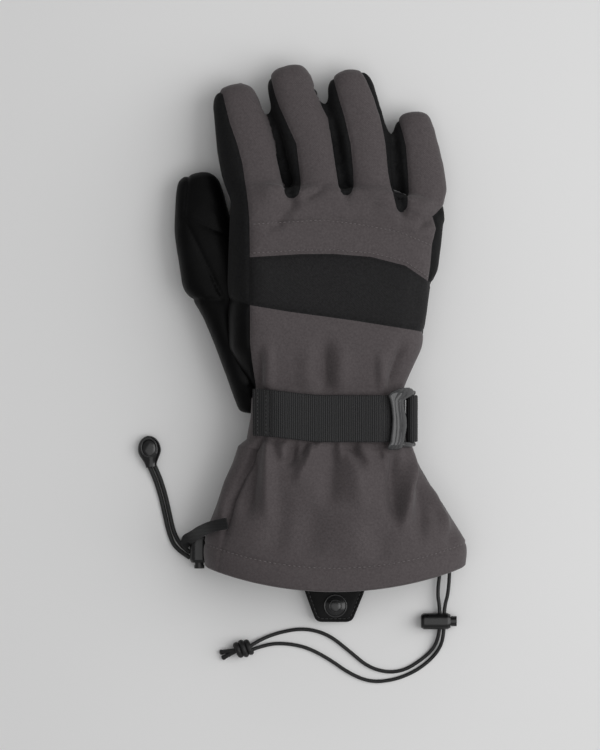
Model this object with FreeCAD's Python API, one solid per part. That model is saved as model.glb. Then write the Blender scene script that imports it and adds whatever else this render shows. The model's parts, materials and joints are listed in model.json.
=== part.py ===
"""Right-hand gauntlet ski glove, lying palm down: every sewn, moulded and corded piece is its own solid.

Millimetres. +X points to the little-finger side, +Y to the fingertips and +Z out of the back of the hand.
The origin is the middle of the footprint, on the plane that the glove lies on.
"""
import FreeCAD
import Part
import math
import os

V = FreeCAD.Vector
os.makedirs("parts", exist_ok=True)

# ---------------------------------------------------------------- driving dimensions
SHELL = 1.4             # outer fabric and leather
INSULATION = 2.0
MEMBRANE = 0.4
LINING = 0.9
FINGER_LINER = 2.6      # quilted insulation, membrane and lining of one finger stall
BASE_GAP = 1.4          # between a finger's palm side and the hand, at its knuckle
BASE_SLANT = 9.5        # degrees that a finger's open end leans back, to leave room to straighten

WRIST_LEFT = -36.9
WRIST_RIGHT = 46.6
WRIST_LOW = 2.4
WRIST_HIGH = 41.7
WRIST_RADIUS = 17.5
HAND_START = -24.0      # the hand's shell begins here, clear of the strap as the wrist bends
CUFF_START = -29.0      # and the cuff's ends here, under the strap
WRIST_INSET = 1.2       # that the hand's shell is smaller than the wrist where it begins
WRIST_AXIS = V(4.8, -26.5, 22.0)

# y, left, right, middle height, thickness, corner radius, roll in degrees (thumb side up)
HAND_STATIONS = [
    (HAND_START, WRIST_LEFT + WRIST_INSET, WRIST_RIGHT - WRIST_INSET, (WRIST_LOW + WRIST_HIGH) / 2,
     WRIST_HIGH - WRIST_LOW - 2 * WRIST_INSET, WRIST_RADIUS - WRIST_INSET, 0),
    (-2.0, -48.5, 55.3, 24.3, 40.8, 17.5, 4),
    (34.0, -49.5, 60.2, 26.7, 38.8, 16.5, 7),
    (64.0, -48.5, 64.0, 27.2, 34.0, 14.6, 8),
    (89.0, -47.5, 65.0, 26.2, 29.0, 13.0, 8),
]
THUMB_BASE_STATIONS = [
    (-20.0, -49.0, -30.0, 17.5, 25.0, 9.0, 0),
    (2.0, -57.2, -36.0, 16.0, 26.0, 10.0, 0),
    (17.0, -63.7, -40.0, 14.8, 26.5, 11.0, 0),
    (30.0, -73.6, -46.6, 13.6, 26.0, 11.0, 0),
]
# y, left, right, bottom, top, corner radius
CUFF_STATIONS = [
    (CUFF_START, WRIST_LEFT, WRIST_RIGHT, WRIST_LOW, WRIST_HIGH, WRIST_RADIUS),
    (-55.0, WRIST_LEFT, WRIST_RIGHT, WRIST_LOW, WRIST_HIGH, WRIST_RADIUS),
    (-68.0, -45.5, 54.3, -0.4, 44.0, 18.0),
    (-93.0, -55.8, 67.0, -0.4, 47.5, 19.0),
    (-120.0, -62.6, 79.6, -0.4, 51.5, 20.0),
    (-137.0, -62.8, 79.8, -0.4, 51.8, 20.0),
]
# knuckle hinge point on the palm side, lowest middle point of the tip, then widths, heights and roll
FINGERS = {
    "index": (V(-33.5, 82.0, 19.2), V(-46.1, 140.6, 4.6), 29.0, 24.5, 25.0, 20.0, 13),
    "middle": (V(-1.5, 83.5, 14.6), V(-20.6, 151.0, 4.4), 26.0, 24.5, 25.0, 20.0, 12),
    "ring": (V(27.7, 83.5, 10.4), V(14.4, 148.6, 4.0), 26.0, 24.5, 24.5, 20.0, 11),
    "little": (V(55.8, 74.7, 6.0), V(48.5, 126.0, 3.0), 22.5, 21.5, 23.5, 19.0, 9),
}
THUMB_HINGE = V(-60.0, 29.0, 0.6)
THUMB_TIP = V(-66.6, 93.5, 0.6)
THUMB_WIDTH = 27.0
THUMB_BALL_WIDTH = 31.0
THUMB_HEIGHT = 26.0

SEAM_X = -36.5          # seam between the back panels and the thumb-side panels
OUTER_SEAM_X = 56.0     # seam of the strip along the little-finger edge
THUMB_SIDE_SEAM_Y = 24.0
PALM_PATCH = (-18, 30, 2, 62)       # its left, right, rear and front edges
PALM_PATCH_THICKNESS = 1.2
# seams across the back, from the thumb side to the outer side
CREST_SEAM = [(-60, 65.5), (-37, 66.2), (1.7, 68.6), (22.5, 66.3), (43.3, 62.3), (75, 49.0)]
BAND_TOP_SEAM = [(-60, 46.0), (-10, 48.4), (7, 48.6), (27.7, 47.1), (46.4, 42.4), (58.9, 34.1), (75, 22.0)]
BAND_LOW_SEAM = [(-60, 24.0), (-16, 17.2), (19.3, 12.5), (75, 3.6)]

HEM_LEFT = V(-62.6, -119.5, 0)
HEM_MIDDLE = V(8.0, -134.6, 0)
HEM_RIGHT = V(80.0, -118.5, 0)
HEM_DEPTH_Y = -112.0    # the hem's tunnel runs from here to the hem's edge
HEM_LIP = 1.4
TUNNEL = 2.6
FACING = 1.0
HEM_CORD = 2.0

STRAP_LOW_Y = -52.9
STRAP_HIGH_Y = -27.6
WEBBING = 1.4
STRAP_LIFT = 0.5        # between the wrist's fabric and the strap
BUCKLE_BAR_LIFT = 3.2
ANCHOR_DISTANCE = 9.0   # from the buckle's middle to its anchor bar
RAIL = 4.0

TAB_HINGE_Y = -121.0
TAB_TIP_Y = -151.8
TAB_LOW_Z = 4.9
TAB_THICKNESS = 1.4
SNAP_X = 8.8
SNAP_Y = -142.9
SNAP_CAP_RADIUS = 6.2
SOCKET_RADIUS = 5.0
SOCKET_HEIGHT = 3.0
SOCKET_BORE = 2.0
SOCKET_DEPTH = 2.2

LOCK_Z = 4.3
PLUNGER_RADIUS = 2.8
PLUNGER_BORE = 2.95
PRESS = 2.4
LEASH_CORD = 2.4
TAPE_WIDTH = 6.2
TAPE_THICKNESS = 1.3

# free cords: the points that each route turns at
HEM_CORD_LEFT_ROUTE = [
    (66.0, -124.9, 3.4), (64.4, -135.2, 3.9), (65.9, -144.0, 4.3), (65.9, -157.2, 4.3), (63.0, -166.2, 2.0),
    (56.3, -172.5, 1.0), (47.0, -178.4, 1.0), (37.2, -179.8, 1.0), (26.4, -176.5, 1.0), (16.0, -167.6, 1.0),
    (4.6, -158.6, 1.0), (-8.6, -155.3, 1.0), (-22.6, -157.8, 1.0), (-33.4, -162.1, 2.0), (-37.8, -165.1, 3.2),
]
HEM_CORD_RIGHT_ROUTE = [
    (71.2, -122.9, 6.1), (70.9, -134.7, 5.2), (68.2, -144.0, 4.3), (68.2, -157.2, 4.3), (66.6, -165.4, 2.0),
    (61.1, -172.7, 1.0), (51.9, -179.5, 1.0), (40.5, -183.9, 1.0), (28.0, -185.0, 1.0), (16.6, -180.3, 1.0),
    (5.2, -172.2, 1.0), (-7.3, -165.6, 1.0), (-20.4, -163.5, 1.0), (-30.2, -164.6, 1.6), (-37.4, -167.3, 3.2),
]
LEASH_TAPE_ROUTE = [
    (-49.9, -96.6, 44.6), (-57.2, -98.0, 41.0), (-64.0, -101.0, 29.0), (-69.2, -104.8, 14.0),
    (-73.8, -107.2, 8.4), (-70.9, -109.8, 5.4),
]
LEASH_CORD_INNER_ROUTE = [
    (-70.9, -113.7, 4.3), (-76.0, -109.9, 2.2), (-79.8, -102.9, 1.3), (-82.0, -92.8, 1.3),
    (-84.4, -82.0, 1.3), (-87.8, -71.4, 1.5), (-90.9, -64.9, 2.8),
]
LEASH_CORD_OUTER_ROUTE = [
    (-70.9, -116.6, 4.3), (-78.6, -112.2, 2.2), (-82.4, -103.6, 1.3), (-84.7, -93.2, 1.3),
    (-87.1, -82.6, 1.3), (-90.4, -72.4, 1.5), (-93.4, -66.2, 2.8),
]


# ---------------------------------------------------------------- general shapes
def box(x0, x1, y0, y1, z0, z1):
    return Part.makeBox(x1 - x0, y1 - y0, z1 - z0, V(x0, y0, z0))


def rounded_rect(width, height, radius):
    """Closed wire in the XZ plane about the origin: four arcs joined by four lines."""
    r = min(radius, width / 2 - 0.2, height / 2 - 0.2)
    centres = [(1, -1, -90), (1, 1, 0), (-1, 1, 90), (-1, -1, 180)]
    arcs = []
    for side, level, start in centres:
        cx = side * (width / 2 - r)
        cz = level * (height / 2 - r)
        points = []
        for turn in (0, 45, 90):
            angle = math.radians(start + turn)
            points.append(V(cx + r * math.cos(angle), 0, cz + r * math.sin(angle)))
        arcs.append(points)
    edges = []
    for here, following in zip(arcs, arcs[1:] + arcs[:1]):
        edges.append(Part.Arc(*here).toShape())
        edges.append(Part.LineSegment(here[2], following[0]).toShape())
    return Part.Wire(edges)


def section(x, y, z, width, height, radius, roll=0.0):
    wire = rounded_rect(max(width, 1.0), max(height, 1.0), max(radius, 0.5))
    wire.Placement = FreeCAD.Placement(V(x, y, z), FreeCAD.Rotation(V(0, 1, 0), roll))
    return wire


def loft(wires):
    return Part.makeLoft(wires, True, True)


def prism(outline, z0, z1):
    """A plan outline, given as a wire at z = 0, raised from z0 to z1."""
    face = Part.Face(outline)
    face.translate(V(0, 0, z0))
    return face.extrude(V(0, 0, z1 - z0))


def plan_polygon(points):
    corners = [V(x, y, 0) for x, y in points]
    return Part.makePolygon(corners + corners[:1])


def unit(vector):
    return vector * (1.0 / vector.Length)


def frame_along(start, end, roll):
    """Placement with Y from start to end, Z up, rolled so that its left side rises."""
    along = unit(end - start)
    up = unit(V(0, 0, 1) - along * along.z)
    across = along.cross(up)
    angle = math.radians(roll)
    side = across * math.cos(angle) - up * math.sin(angle)
    normal = up * math.cos(angle) + across * math.sin(angle)
    matrix = FreeCAD.Matrix(
        side.x, along.x, normal.x, start.x,
        side.y, along.y, normal.y, start.y,
        side.z, along.z, normal.z, start.z,
        0, 0, 0, 1)
    return FreeCAD.Placement(matrix)


def placed(shape, placement):
    moved = shape.copy()
    moved.Placement = placement.multiply(moved.Placement)
    return moved


def ellipsoid(centre, radii, turn=0.0):
    matrix = FreeCAD.Matrix()
    matrix.scale(V(*radii))
    shape = Part.makeSphere(1.0).transformGeometry(matrix)
    shape.rotate(V(0, 0, 0), V(0, 0, 1), turn)
    shape.translate(centre)
    return shape


def write(name, shape):
    """One STEP for each node; a group of separate solids stays a compound."""
    solids = shape.Solids
    if not solids:
        raise RuntimeError(name + " has no solid")
    result = solids[0] if len(solids) == 1 else Part.makeCompound(solids)
    result.exportStep("parts/" + name + ".step")
    bounds = result.BoundBox
    print("%-24s solids %d  volume %8.1f  z %6.2f .. %6.2f  valid %s"
          % (name, len(solids), result.Volume, bounds.ZMin, bounds.ZMax, result.isValid()))


def route_path(points):
    """Straight runs joined by tangent arcs, each as large as its two runs allow; also the tightest radius."""
    points = [V(*p) for p in points]
    edges = []
    radii = []
    last = points[0]
    for before, corner, after in zip(points, points[1:], points[2:]):
        into = unit(corner - before)
        out = unit(after - corner)
        reach = 0.45 * min((corner - before).Length, (after - corner).Length)
        turn = math.acos(max(-1.0, min(1.0, into.dot(out))))
        radius = reach / math.tan(turn / 2)
        radii.append(radius)
        first = corner - into * reach
        second = corner + out * reach
        sagitta = radius / math.cos(turn / 2) - radius
        middle = corner + unit(out - into) * sagitta
        edges.append(Part.LineSegment(last, first).toShape())
        edges.append(Part.Arc(first, middle, second).toShape())
        last = second
    edges.append(Part.LineSegment(last, points[-1]).toShape())
    return Part.Wire(edges), radii


def cord(name, points, profile, area):
    """Sweep a closed profile along a route and report its bends and its volume."""
    path, radii = route_path(points)
    solid = path.makePipeShell([profile], True, False)
    expected = area * path.Length
    print("%s: length %.1f, smallest radius %.1f, volume / expected %.4f"
          % (name, path.Length, min(radii), solid.Volume / expected))
    return solid


def round_cord(name, points, diameter):
    start = V(*points[0])
    direction = unit(V(*points[1]) - start)
    circle = Part.Wire(Part.Circle(start, direction, diameter / 2).toShape())
    return cord(name, points, circle, math.pi * diameter ** 2 / 4)


# ---------------------------------------------------------------- hand
def hand_skin(stations, inset):
    wires = []
    for y, left, right, middle, height, radius, roll in stations:
        width = right - left - 2 * inset
        wires.append(section((left + right) / 2, y, middle, width, height - 2 * inset, radius - inset, roll))
    return loft(wires)


def finger_slab(name):
    """The space in front of a finger's knuckle hinge, which the hand leaves free."""
    hinge, tip, base_width, _, _, _, roll = FINGERS[name]
    half = base_width / 2 + 3.0
    return placed(box(-half, half, -0.3, 45, -40, 70), frame_along(hinge, tip, roll))


def ahead_of_seam(seam):
    """Everything on the fingers' side of a seam across the back."""
    return prism(plan_polygon(list(seam) + [(75, 140), (-60, 140)]), -5, 90)


def build_hand():
    depths = [0, SHELL]
    for thickness in (INSULATION, MEMBRANE, LINING):
        depths.append(depths[-1] + thickness)
    skins = [hand_skin(HAND_STATIONS, depth) for depth in depths]
    slabs = [finger_slab(name) for name in FINGERS]
    thumb_outer = hand_skin(THUMB_BASE_STATIONS, 0)
    thumb_inner = hand_skin(THUMB_BASE_STATIONS, SHELL)
    clear = slabs[0].fuse(slabs[1:]).fuse(thumb_inner)
    layers = [outer.cut(inner).cut(clear) for outer, inner in zip(skins, skins[1:])]
    shell = layers[0]

    upper = box(-120, 120, -60, 120, 0, 80)
    upper.Placement = FreeCAD.Placement(V(8, 0, 26), FreeCAD.Rotation(V(0, 1, 0), 6))
    thumb_side = box(-120, SEAM_X, -60, 120, -5, 90)
    back = shell.common(upper).cut(thumb_side)
    lower = shell.cut(upper).cut(thumb_side)
    outer_strip = box(OUTER_SEAM_X, 120, -60, 120, -5, 90)
    side = shell.common(thumb_side)
    forward_of_seam = box(-120, 120, THUMB_SIDE_SEAM_Y, 120, -5, 90)

    ahead_of_crest = ahead_of_seam(CREST_SEAM)
    ahead_of_band = ahead_of_seam(BAND_TOP_SEAM)
    ahead_of_wrist = ahead_of_seam(BAND_LOW_SEAM)
    write("knuckle_panel", back.common(ahead_of_crest))
    write("crest_panel", back.common(ahead_of_band).cut(ahead_of_crest))
    write("back_band", back.common(ahead_of_wrist).cut(ahead_of_band))
    write("wrist_back_panel", back.cut(ahead_of_wrist))
    palm = lower.cut(outer_strip)
    write("outer_side_panel", lower.common(outer_strip))
    write("index_side_panel", side.common(forward_of_seam))
    behind_seam = sorted(side.cut(forward_of_seam).Solids, key=lambda solid: solid.Volume)
    write("wrist_side_panel", behind_seam[-1])
    write("palm_panel", palm.fuse(behind_seam[:-1]).removeSplitter())
    write("hand_insulation", layers[1])
    write("hand_membrane", layers[2])
    write("hand_lining", layers[3])

    patch_skin = hand_skin(HAND_STATIONS, -PALM_PATCH_THICKNESS).cut(skins[0]).cut(upper)
    write("palm_patch", patch_skin.common(box(*PALM_PATCH, -5, 90)))

    thumb_slab = placed(box(-40, 40, -0.3, 45, -20, 60), frame_along(THUMB_HINGE, THUMB_TIP, 0))
    gusset = thumb_outer.cut(thumb_inner).cut(skins[0]).cut(thumb_slab)
    write("thumb_gusset", gusset)


# ---------------------------------------------------------------- fingers and thumb
def stall_skin(length, widths, heights, inset, ball=None):
    """Closed stall along local Y whose underside starts SHELL / 2 below the hinge line."""
    base_width, tip_width = widths
    base_height, tip_height = heights
    floor = -SHELL / 2
    plan = [(-2.0, base_width, base_height, base_height)]
    if ball:
        plan.append((ball[0], ball[1], base_height * 0.97, base_height * 0.97))
    plan.append((length - 9.0, tip_width, tip_height, tip_height))
    plan.append((length - 3.2 - 0.6 * inset, tip_width * 0.86, tip_height * 0.84, tip_height))
    plan.append((length - inset, tip_width * 0.5, tip_height * 0.45, tip_height))
    wires = []
    for y, width, height, full_height in plan:
        middle = floor + full_height / 2
        radius = 0.42 * min(width, height) - inset
        wires.append(section(0, y, middle, width - 2 * inset, height - 2 * inset, radius))
    return loft(wires)


def slanted_base(slant):
    """The space behind a stall's open end, leaning back from the palm side."""
    block = box(-60, 60, -60, BASE_GAP, -60, 90)
    block.rotate(V(0, BASE_GAP, 0), V(1, 0, 0), -slant)
    return block


def build_finger(name):
    hinge, tip, base_width, tip_width, base_height, tip_height, roll = FINGERS[name]
    length = (tip - hinge).Length
    widths = (base_width, tip_width)
    heights = (base_height, tip_height)
    behind = slanted_base(BASE_SLANT)
    skins = []
    for inset in (0, SHELL, SHELL + FINGER_LINER):
        skins.append(stall_skin(length, widths, heights, inset).cut(behind))
    shell = skins[0].cut(skins[1])
    liner = skins[1].cut(skins[2])
    palm_zone = box(-60, 60, -60, length - 5.0, -10, 4.5)
    side_zone = box(-60, 60, -60, length - 9.0, 4.5, tip_height * 0.7)
    where = frame_along(hinge, tip, roll)
    write(name + "_back", placed(shell.cut(palm_zone).cut(side_zone), where))
    write(name + "_palm", placed(shell.common(palm_zone), where))
    write(name + "_fourchettes", placed(shell.common(side_zone), where))
    write(name + "_liner", placed(liner, where))
    axis = where.Rotation.multVec(V(-1, 0, 0))
    print("  %s hinge pos %s axis %s" % (name, tuple(round(v, 3) for v in hinge), tuple(round(v, 5) for v in axis)))


def build_thumb():
    length = (THUMB_TIP - THUMB_HINGE).Length
    widths = (THUMB_WIDTH, 25.0)
    heights = (THUMB_HEIGHT, 21.0)
    ball = (34.0, THUMB_BALL_WIDTH)
    behind = slanted_base(0)
    skins = []
    for inset in (0, SHELL, SHELL + FINGER_LINER):
        skins.append(stall_skin(length, widths, heights, inset, ball).cut(behind))
    shell = skins[0].cut(skins[1])
    half = THUMB_HEIGHT / 2 - SHELL / 2
    lower_zone = box(-60, 60, -60, 200, -30, half)
    raised = V(THUMB_HINGE.x, THUMB_HINGE.y, THUMB_HINGE.z + SHELL / 2)
    raised_tip = V(THUMB_TIP.x, THUMB_TIP.y, THUMB_TIP.z + SHELL / 2)
    where = frame_along(raised, raised_tip, 0)
    write("thumb_back", placed(shell.cut(lower_zone), where))
    write("thumb_palm", placed(shell.common(lower_zone), where))
    write("thumb_liner", placed(skins[1].cut(skins[2]), where))
    hinge = where.multVec(V(-(THUMB_WIDTH - SHELL) / 2, 0, THUMB_HEIGHT / 2))
    print("  thumb hinge pos %s axis (0, 0, 1)" % (tuple(round(v, 3) for v in hinge),))


# ---------------------------------------------------------------- cuff
def cuff_skin(inset):
    wires = []
    for y, left, right, bottom, top, radius in CUFF_STATIONS:
        width = right - left - 2 * inset
        height = top - bottom - 2 * inset
        wires.append(section((left + right) / 2, y, (top + bottom) / 2, width, height, radius - inset))
    return loft(wires)


def hem_space(shift):
    """Everything beyond the hem's curved edge, moved towards the fingers by shift."""
    points = [p + V(0, shift, 0) for p in (HEM_LEFT, HEM_MIDDLE, HEM_RIGHT)]
    far = -200.0
    outside = [V(HEM_RIGHT.x + 40, points[2].y, 0), V(HEM_RIGHT.x + 40, far, 0),
               V(HEM_LEFT.x - 40, far, 0), V(HEM_LEFT.x - 40, points[0].y, 0)]
    edges = [Part.Arc(*points).toShape()]
    corners = [points[2]] + outside + [points[0]]
    for start, end in zip(corners, corners[1:]):
        edges.append(Part.LineSegment(start, end).toShape())
    return prism(Part.Wire(edges), -20, 90)


def build_cuff():
    outer = cuff_skin(0)
    inner = cuff_skin(SHELL)
    beyond = hem_space(0)
    ground = box(-200, 200, -300, 300, -10, 0)
    shell = outer.cut(inner).cut(beyond).cut(ground)
    side_region = prism(plan_polygon([(-100, -30), (-31, -30), (-31, -50), (-43, -75), (-52, -109),
                                      (-56, -140), (-100, -140)]), -10, 90)
    low = box(-200, 200, -300, 300, -10, 20)
    rest = shell.cut(side_region)
    write("cuff_side_panel", shell.common(side_region))
    write("cuff_back_panel", rest.cut(low))
    write("cuff_palm_panel", rest.common(low))

    lining = inner.cut(cuff_skin(SHELL + 1.5)).common(box(-200, 200, HEM_DEPTH_Y, 300, -10, 90))
    write("cuff_lining", lining)

    facing_out = cuff_skin(SHELL + TUNNEL)
    facing_in = cuff_skin(SHELL + TUNNEL + FACING)
    before_lip = hem_space(HEM_LIP)
    hem_zone = box(-200, 200, -200, HEM_DEPTH_Y, -10, 90)
    facing = facing_out.cut(facing_in).common(hem_zone).cut(before_lip)
    lip = inner.cut(facing_in).common(hem_zone).common(before_lip).cut(beyond)
    upper_step = inner.cut(facing_in).common(box(-200, 200, HEM_DEPTH_Y - HEM_LIP, HEM_DEPTH_Y, -10, 90))
    hem = facing.fuse([lip, upper_step])
    for x, y, z in (HEM_CORD_LEFT_ROUTE[0], HEM_CORD_RIGHT_ROUTE[0]):
        hem = hem.cut(Part.makeCylinder(HEM_CORD / 2 + 0.3, 8, V(x, y - 3, z), V(0, 1, 0)))
    write("hem_facing", hem)

    _, left, right, bottom, top, radius = CUFF_STATIONS[4]
    inset = SHELL + TUNNEL / 2
    loop_y = HEM_DEPTH_Y - 4.0
    loop_left = left + 0.9
    loop_right = right - 1.8
    loop_top = top - 0.6
    path = section((loop_left + loop_right) / 2, loop_y, (loop_top + bottom) / 2,
                   loop_right - loop_left - 2 * inset, loop_top - bottom - 2 * inset, radius - inset)
    start = path.Edges[0].valueAt(path.Edges[0].FirstParameter)
    direction = path.Edges[0].tangentAt(path.Edges[0].FirstParameter)
    ring = path.makePipeShell([Part.Wire(Part.Circle(start, direction, 0.9).toShape())], True, False)
    open_ring = ring.cut(box(64.0, 72.0, -200, 0, -5, 20))
    write("hem_cord_loop", open_ring)


# ---------------------------------------------------------------- wrist strap and buckle
def wrist_band(near, far):
    """Band of webbing around the wrist between two offsets of the wrist's section."""
    x = (WRIST_LEFT + WRIST_RIGHT) / 2
    z = (WRIST_LOW + WRIST_HIGH) / 2
    width = WRIST_RIGHT - WRIST_LEFT
    height = WRIST_HIGH - WRIST_LOW
    solids = []
    for offset in (far, near):
        wire = section(x, STRAP_LOW_Y, z, width + 2 * offset, height + 2 * offset, WRIST_RADIUS + offset)
        solids.append(Part.Face(wire).extrude(V(0, STRAP_HIGH_Y - STRAP_LOW_Y, 0)))
    return solids[0].cut(solids[1])


def buckle_frame_placement():
    """Local X runs from the anchor bar to the lever, Z away from the wrist; the origin is the anchor bar."""
    reach = WRIST_RADIUS * math.sqrt(0.5)
    surface = V(WRIST_RIGHT - WRIST_RADIUS + reach, 0, WRIST_HIGH - WRIST_RADIUS + reach)
    towards_lever = unit(V(-1, 0, 1))
    outward = unit(V(1, 0, 1))
    origin = surface - towards_lever * ANCHOR_DISTANCE + outward * BUCKLE_BAR_LIFT
    across = outward.cross(towards_lever)
    matrix = FreeCAD.Matrix(
        towards_lever.x, across.x, outward.x, origin.x,
        towards_lever.y, across.y, outward.y, 0,
        towards_lever.z, across.z, outward.z, origin.z,
        0, 0, 0, 1)
    return FreeCAD.Placement(matrix)


def buckle_profile(points, low_y, high_y):
    """Closed smooth outline in the buckle's XZ plane, drawn out between two Y values."""
    curve = Part.BSplineCurve()
    curve.interpolate([V(x, 0, z) for x, z in points], PeriodicFlag=True)
    face = Part.Face(Part.Wire(curve.toShape()))
    face.translate(V(0, low_y, 0))
    return face.extrude(V(0, high_y - low_y, 0))


def build_strap():
    near = STRAP_LIFT
    far = near + WEBBING
    tail_near = far + 0.2
    tail_far = tail_near + WEBBING
    where = buckle_frame_placement()
    origin = where.Base
    middle_y = (STRAP_LOW_Y + STRAP_HIGH_Y) / 2
    where.Base = V(origin.x, middle_y, origin.z)
    half_web = (STRAP_HIGH_Y - STRAP_LOW_Y) / 2

    buckle_zone = placed(box(-40, 14.6, -60, 60, -30, 30), where)
    top_zone = box(-35.6, 60, -100, 50, 27, 60).cut(buckle_zone)
    run = wrist_band(near, far).common(top_zone)
    write("strap_run", run)
    tail = wrist_band(tail_near, tail_far).common(top_zone)
    tail_zone = box(-35.6, -29.0, -100, 50, 27, 60)
    fold = wrist_band(tail_far, tail_far + WEBBING).common(tail_zone)
    write("strap_tail", tail.fuse(fold))
    write("wrist_elastic", wrist_band(near, far).common(box(-60, 60, -100, 50, -5, 9)))

    collar_outer = Part.makeCylinder(3.0, 2 * half_web, V(origin.x, STRAP_LOW_Y, origin.z), V(0, 1, 0))
    collar_inner = Part.makeCylinder(1.6, 2 * half_web, V(origin.x, STRAP_LOW_Y, origin.z), V(0, 1, 0))
    leg = box(origin.x - 3.0, origin.x - 1.6, STRAP_LOW_Y, STRAP_HIGH_Y, 26.0, origin.z)
    side_band = wrist_band(near, far).common(box(40, 60, -100, 50, 9, 26))
    write("strap_anchor_loop", collar_outer.fuse([leg]).cut(collar_inner).fuse(side_band))

    bar_half = half_web + RAIL
    anchor_bar = Part.makeCylinder(1.3, 2 * bar_half, V(0, -bar_half, 0), V(0, 1, 0))
    middle_bar = Part.makeCylinder(1.1, 2 * bar_half, V(ANCHOR_DISTANCE, -bar_half, 0), V(0, 1, 0))
    lever_outline = [(16.0, 1.2), (18.2, -0.6), (20.6, -1.9), (23.2, -1.0), (24.2, 0.6), (22.8, 1.3),
                     (20.6, 0.6), (18.8, 1.6), (17.4, 3.4), (15.9, 3.2)]
    lever = buckle_profile(lever_outline, -bar_half, bar_half)
    rail_outline = [(-2.2, 0.0), (-1.2, -1.7), (4.0, -1.6), (9.0, -1.4), (14.0, -1.2), (19.0, -1.6), (20.6, -0.4),
                    (18.0, 1.6), (14.0, 3.0), (9.0, 2.4), (4.0, 1.9), (-1.2, 1.8)]
    top_rail = buckle_profile(rail_outline, half_web + 0.4, bar_half)
    low_rail = buckle_profile(rail_outline, -bar_half, -half_web - 0.4)
    frame = anchor_bar.fuse([middle_bar, lever, top_rail, low_rail]).removeSplitter()
    write("buckle_frame", placed(frame, where))

    ring_outer = Part.makeCylinder(2.65, 2 * half_web, V(ANCHOR_DISTANCE, -half_web, 0), V(0, 1, 0))
    ring_inner = Part.makeCylinder(1.25, 2 * half_web, V(ANCHOR_DISTANCE, -half_web, 0), V(0, 1, 0))
    bight = ring_outer.cut(ring_inner).common(box(-20, ANCHOR_DISTANCE, -60, 60, -20, 20))
    upper_leg = [(0.0, 1.25), (0.0, 2.65), (5.2, 0.2), (5.2, -1.2)]
    lower_leg = [(0.0, -2.65), (0.0, -1.25), (5.2, -1.6), (5.2, -3.0)]
    for outline in (upper_leg, lower_leg):
        corners = [V(ANCHOR_DISTANCE + x, -half_web, z) for x, z in outline]
        face = Part.Face(Part.makePolygon(corners + corners[:1]))
        bight = bight.fuse(face.extrude(V(0, 2 * half_web, 0)))
    write("strap_bight", placed(bight, where))
    print("  buckle hinge pos %s axis (0, 1, 0)" % ((round(origin.x, 3), round(middle_y, 3), round(origin.z, 3)),))


# ---------------------------------------------------------------- snap tab
def build_tab():
    outline = plan_polygon([(-8.6, TAB_HINGE_Y), (25.3, TAB_HINGE_Y), (25.3, -133.5), (17.8, TAB_TIP_Y),
                            (-1.8, TAB_TIP_Y), (-8.6, -133.5)])
    top = TAB_LOW_Z + TAB_THICKNESS
    tab = prism(outline, TAB_LOW_Z, top)
    post = Part.makeCylinder(1.6, TAB_THICKNESS + 1.0, V(SNAP_X, SNAP_Y, TAB_LOW_Z - 0.5))
    write("snap_tab", tab.cut(Part.makeCylinder(1.6, 10, V(SNAP_X, SNAP_Y, TAB_LOW_Z - 5))))
    rise = 1.9
    sphere_radius = (SNAP_CAP_RADIUS ** 2 + rise ** 2) / (2 * rise)
    dome = Part.makeSphere(sphere_radius, V(SNAP_X, SNAP_Y, top + rise - sphere_radius))
    disc = Part.makeCylinder(SNAP_CAP_RADIUS, 5, V(SNAP_X, SNAP_Y, top))
    write("snap_cap", dome.common(disc).fuse(post.common(box(-60, 60, -200, 0, TAB_LOW_Z, top + 1))))
    socket = Part.makeCylinder(SOCKET_RADIUS, SOCKET_HEIGHT, V(SNAP_X, SNAP_Y, TAB_LOW_Z - SOCKET_HEIGHT))
    bore = Part.makeCylinder(SOCKET_BORE, SOCKET_DEPTH, V(SNAP_X, SNAP_Y, TAB_LOW_Z - SOCKET_HEIGHT))
    write("snap_socket", socket.cut(bore))


# ---------------------------------------------------------------- cord locks
def barrel(length, width, height, radius):
    """Rounded body along local Y from 0 to length, necked in at both ends."""
    plan = [(0.0, 0.82), (1.6, 1.0), (length - 1.6, 1.0), (length, 0.82)]
    return loft([section(0, y, 0, width * k, height * k, radius * k) for y, k in plan])


def spring(length, radius, wire_radius, turns):
    """Compression spring along local Y from 0 to length, given as stacked closed rings."""
    rings = []
    pitch = (length - 2 * wire_radius) / (turns - 1)
    for turn in range(turns):
        centre = V(0, wire_radius + turn * pitch, 0)
        rings.append(Part.makeTorus(radius, wire_radius, centre, V(0, 1, 0)))
    return Part.makeCompound(rings)


def cord_lock(prefix, where, length, width, height, hole_start, hole_length, head):
    """Barrel lock whose plunger is pushed in along local +Y; local Y = 0 is the open end."""
    bore_depth = length - 1.4
    body = barrel(length, width, height, height * 0.42)
    body = body.cut(Part.makeCylinder(PLUNGER_BORE, bore_depth, V(0, 0, 0), V(0, 1, 0)))
    slot_half = 1.5
    slot = box(-40, 40, hole_start, hole_start + hole_length, -slot_half, slot_half)
    body = body.cut(slot)
    write(prefix + "_lock_body", placed(body, where))
    plunger_end = hole_start + hole_length + 2.0
    plunger = Part.makeCylinder(PLUNGER_RADIUS, plunger_end + head, V(0, -head, 0), V(0, 1, 0))
    slot_low = hole_start - PRESS - 0.1
    plunger = plunger.cut(box(-40, 40, slot_low, hole_start + hole_length, -slot_half, slot_half))
    write(prefix + "_lock_plunger", placed(plunger, where))
    coil = spring(bore_depth - plunger_end - 0.2, 1.9, 0.3, 4)
    coil.translate(V(0, plunger_end + 0.1, 0))
    write(prefix + "_lock_spring", placed(coil, where))


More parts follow.
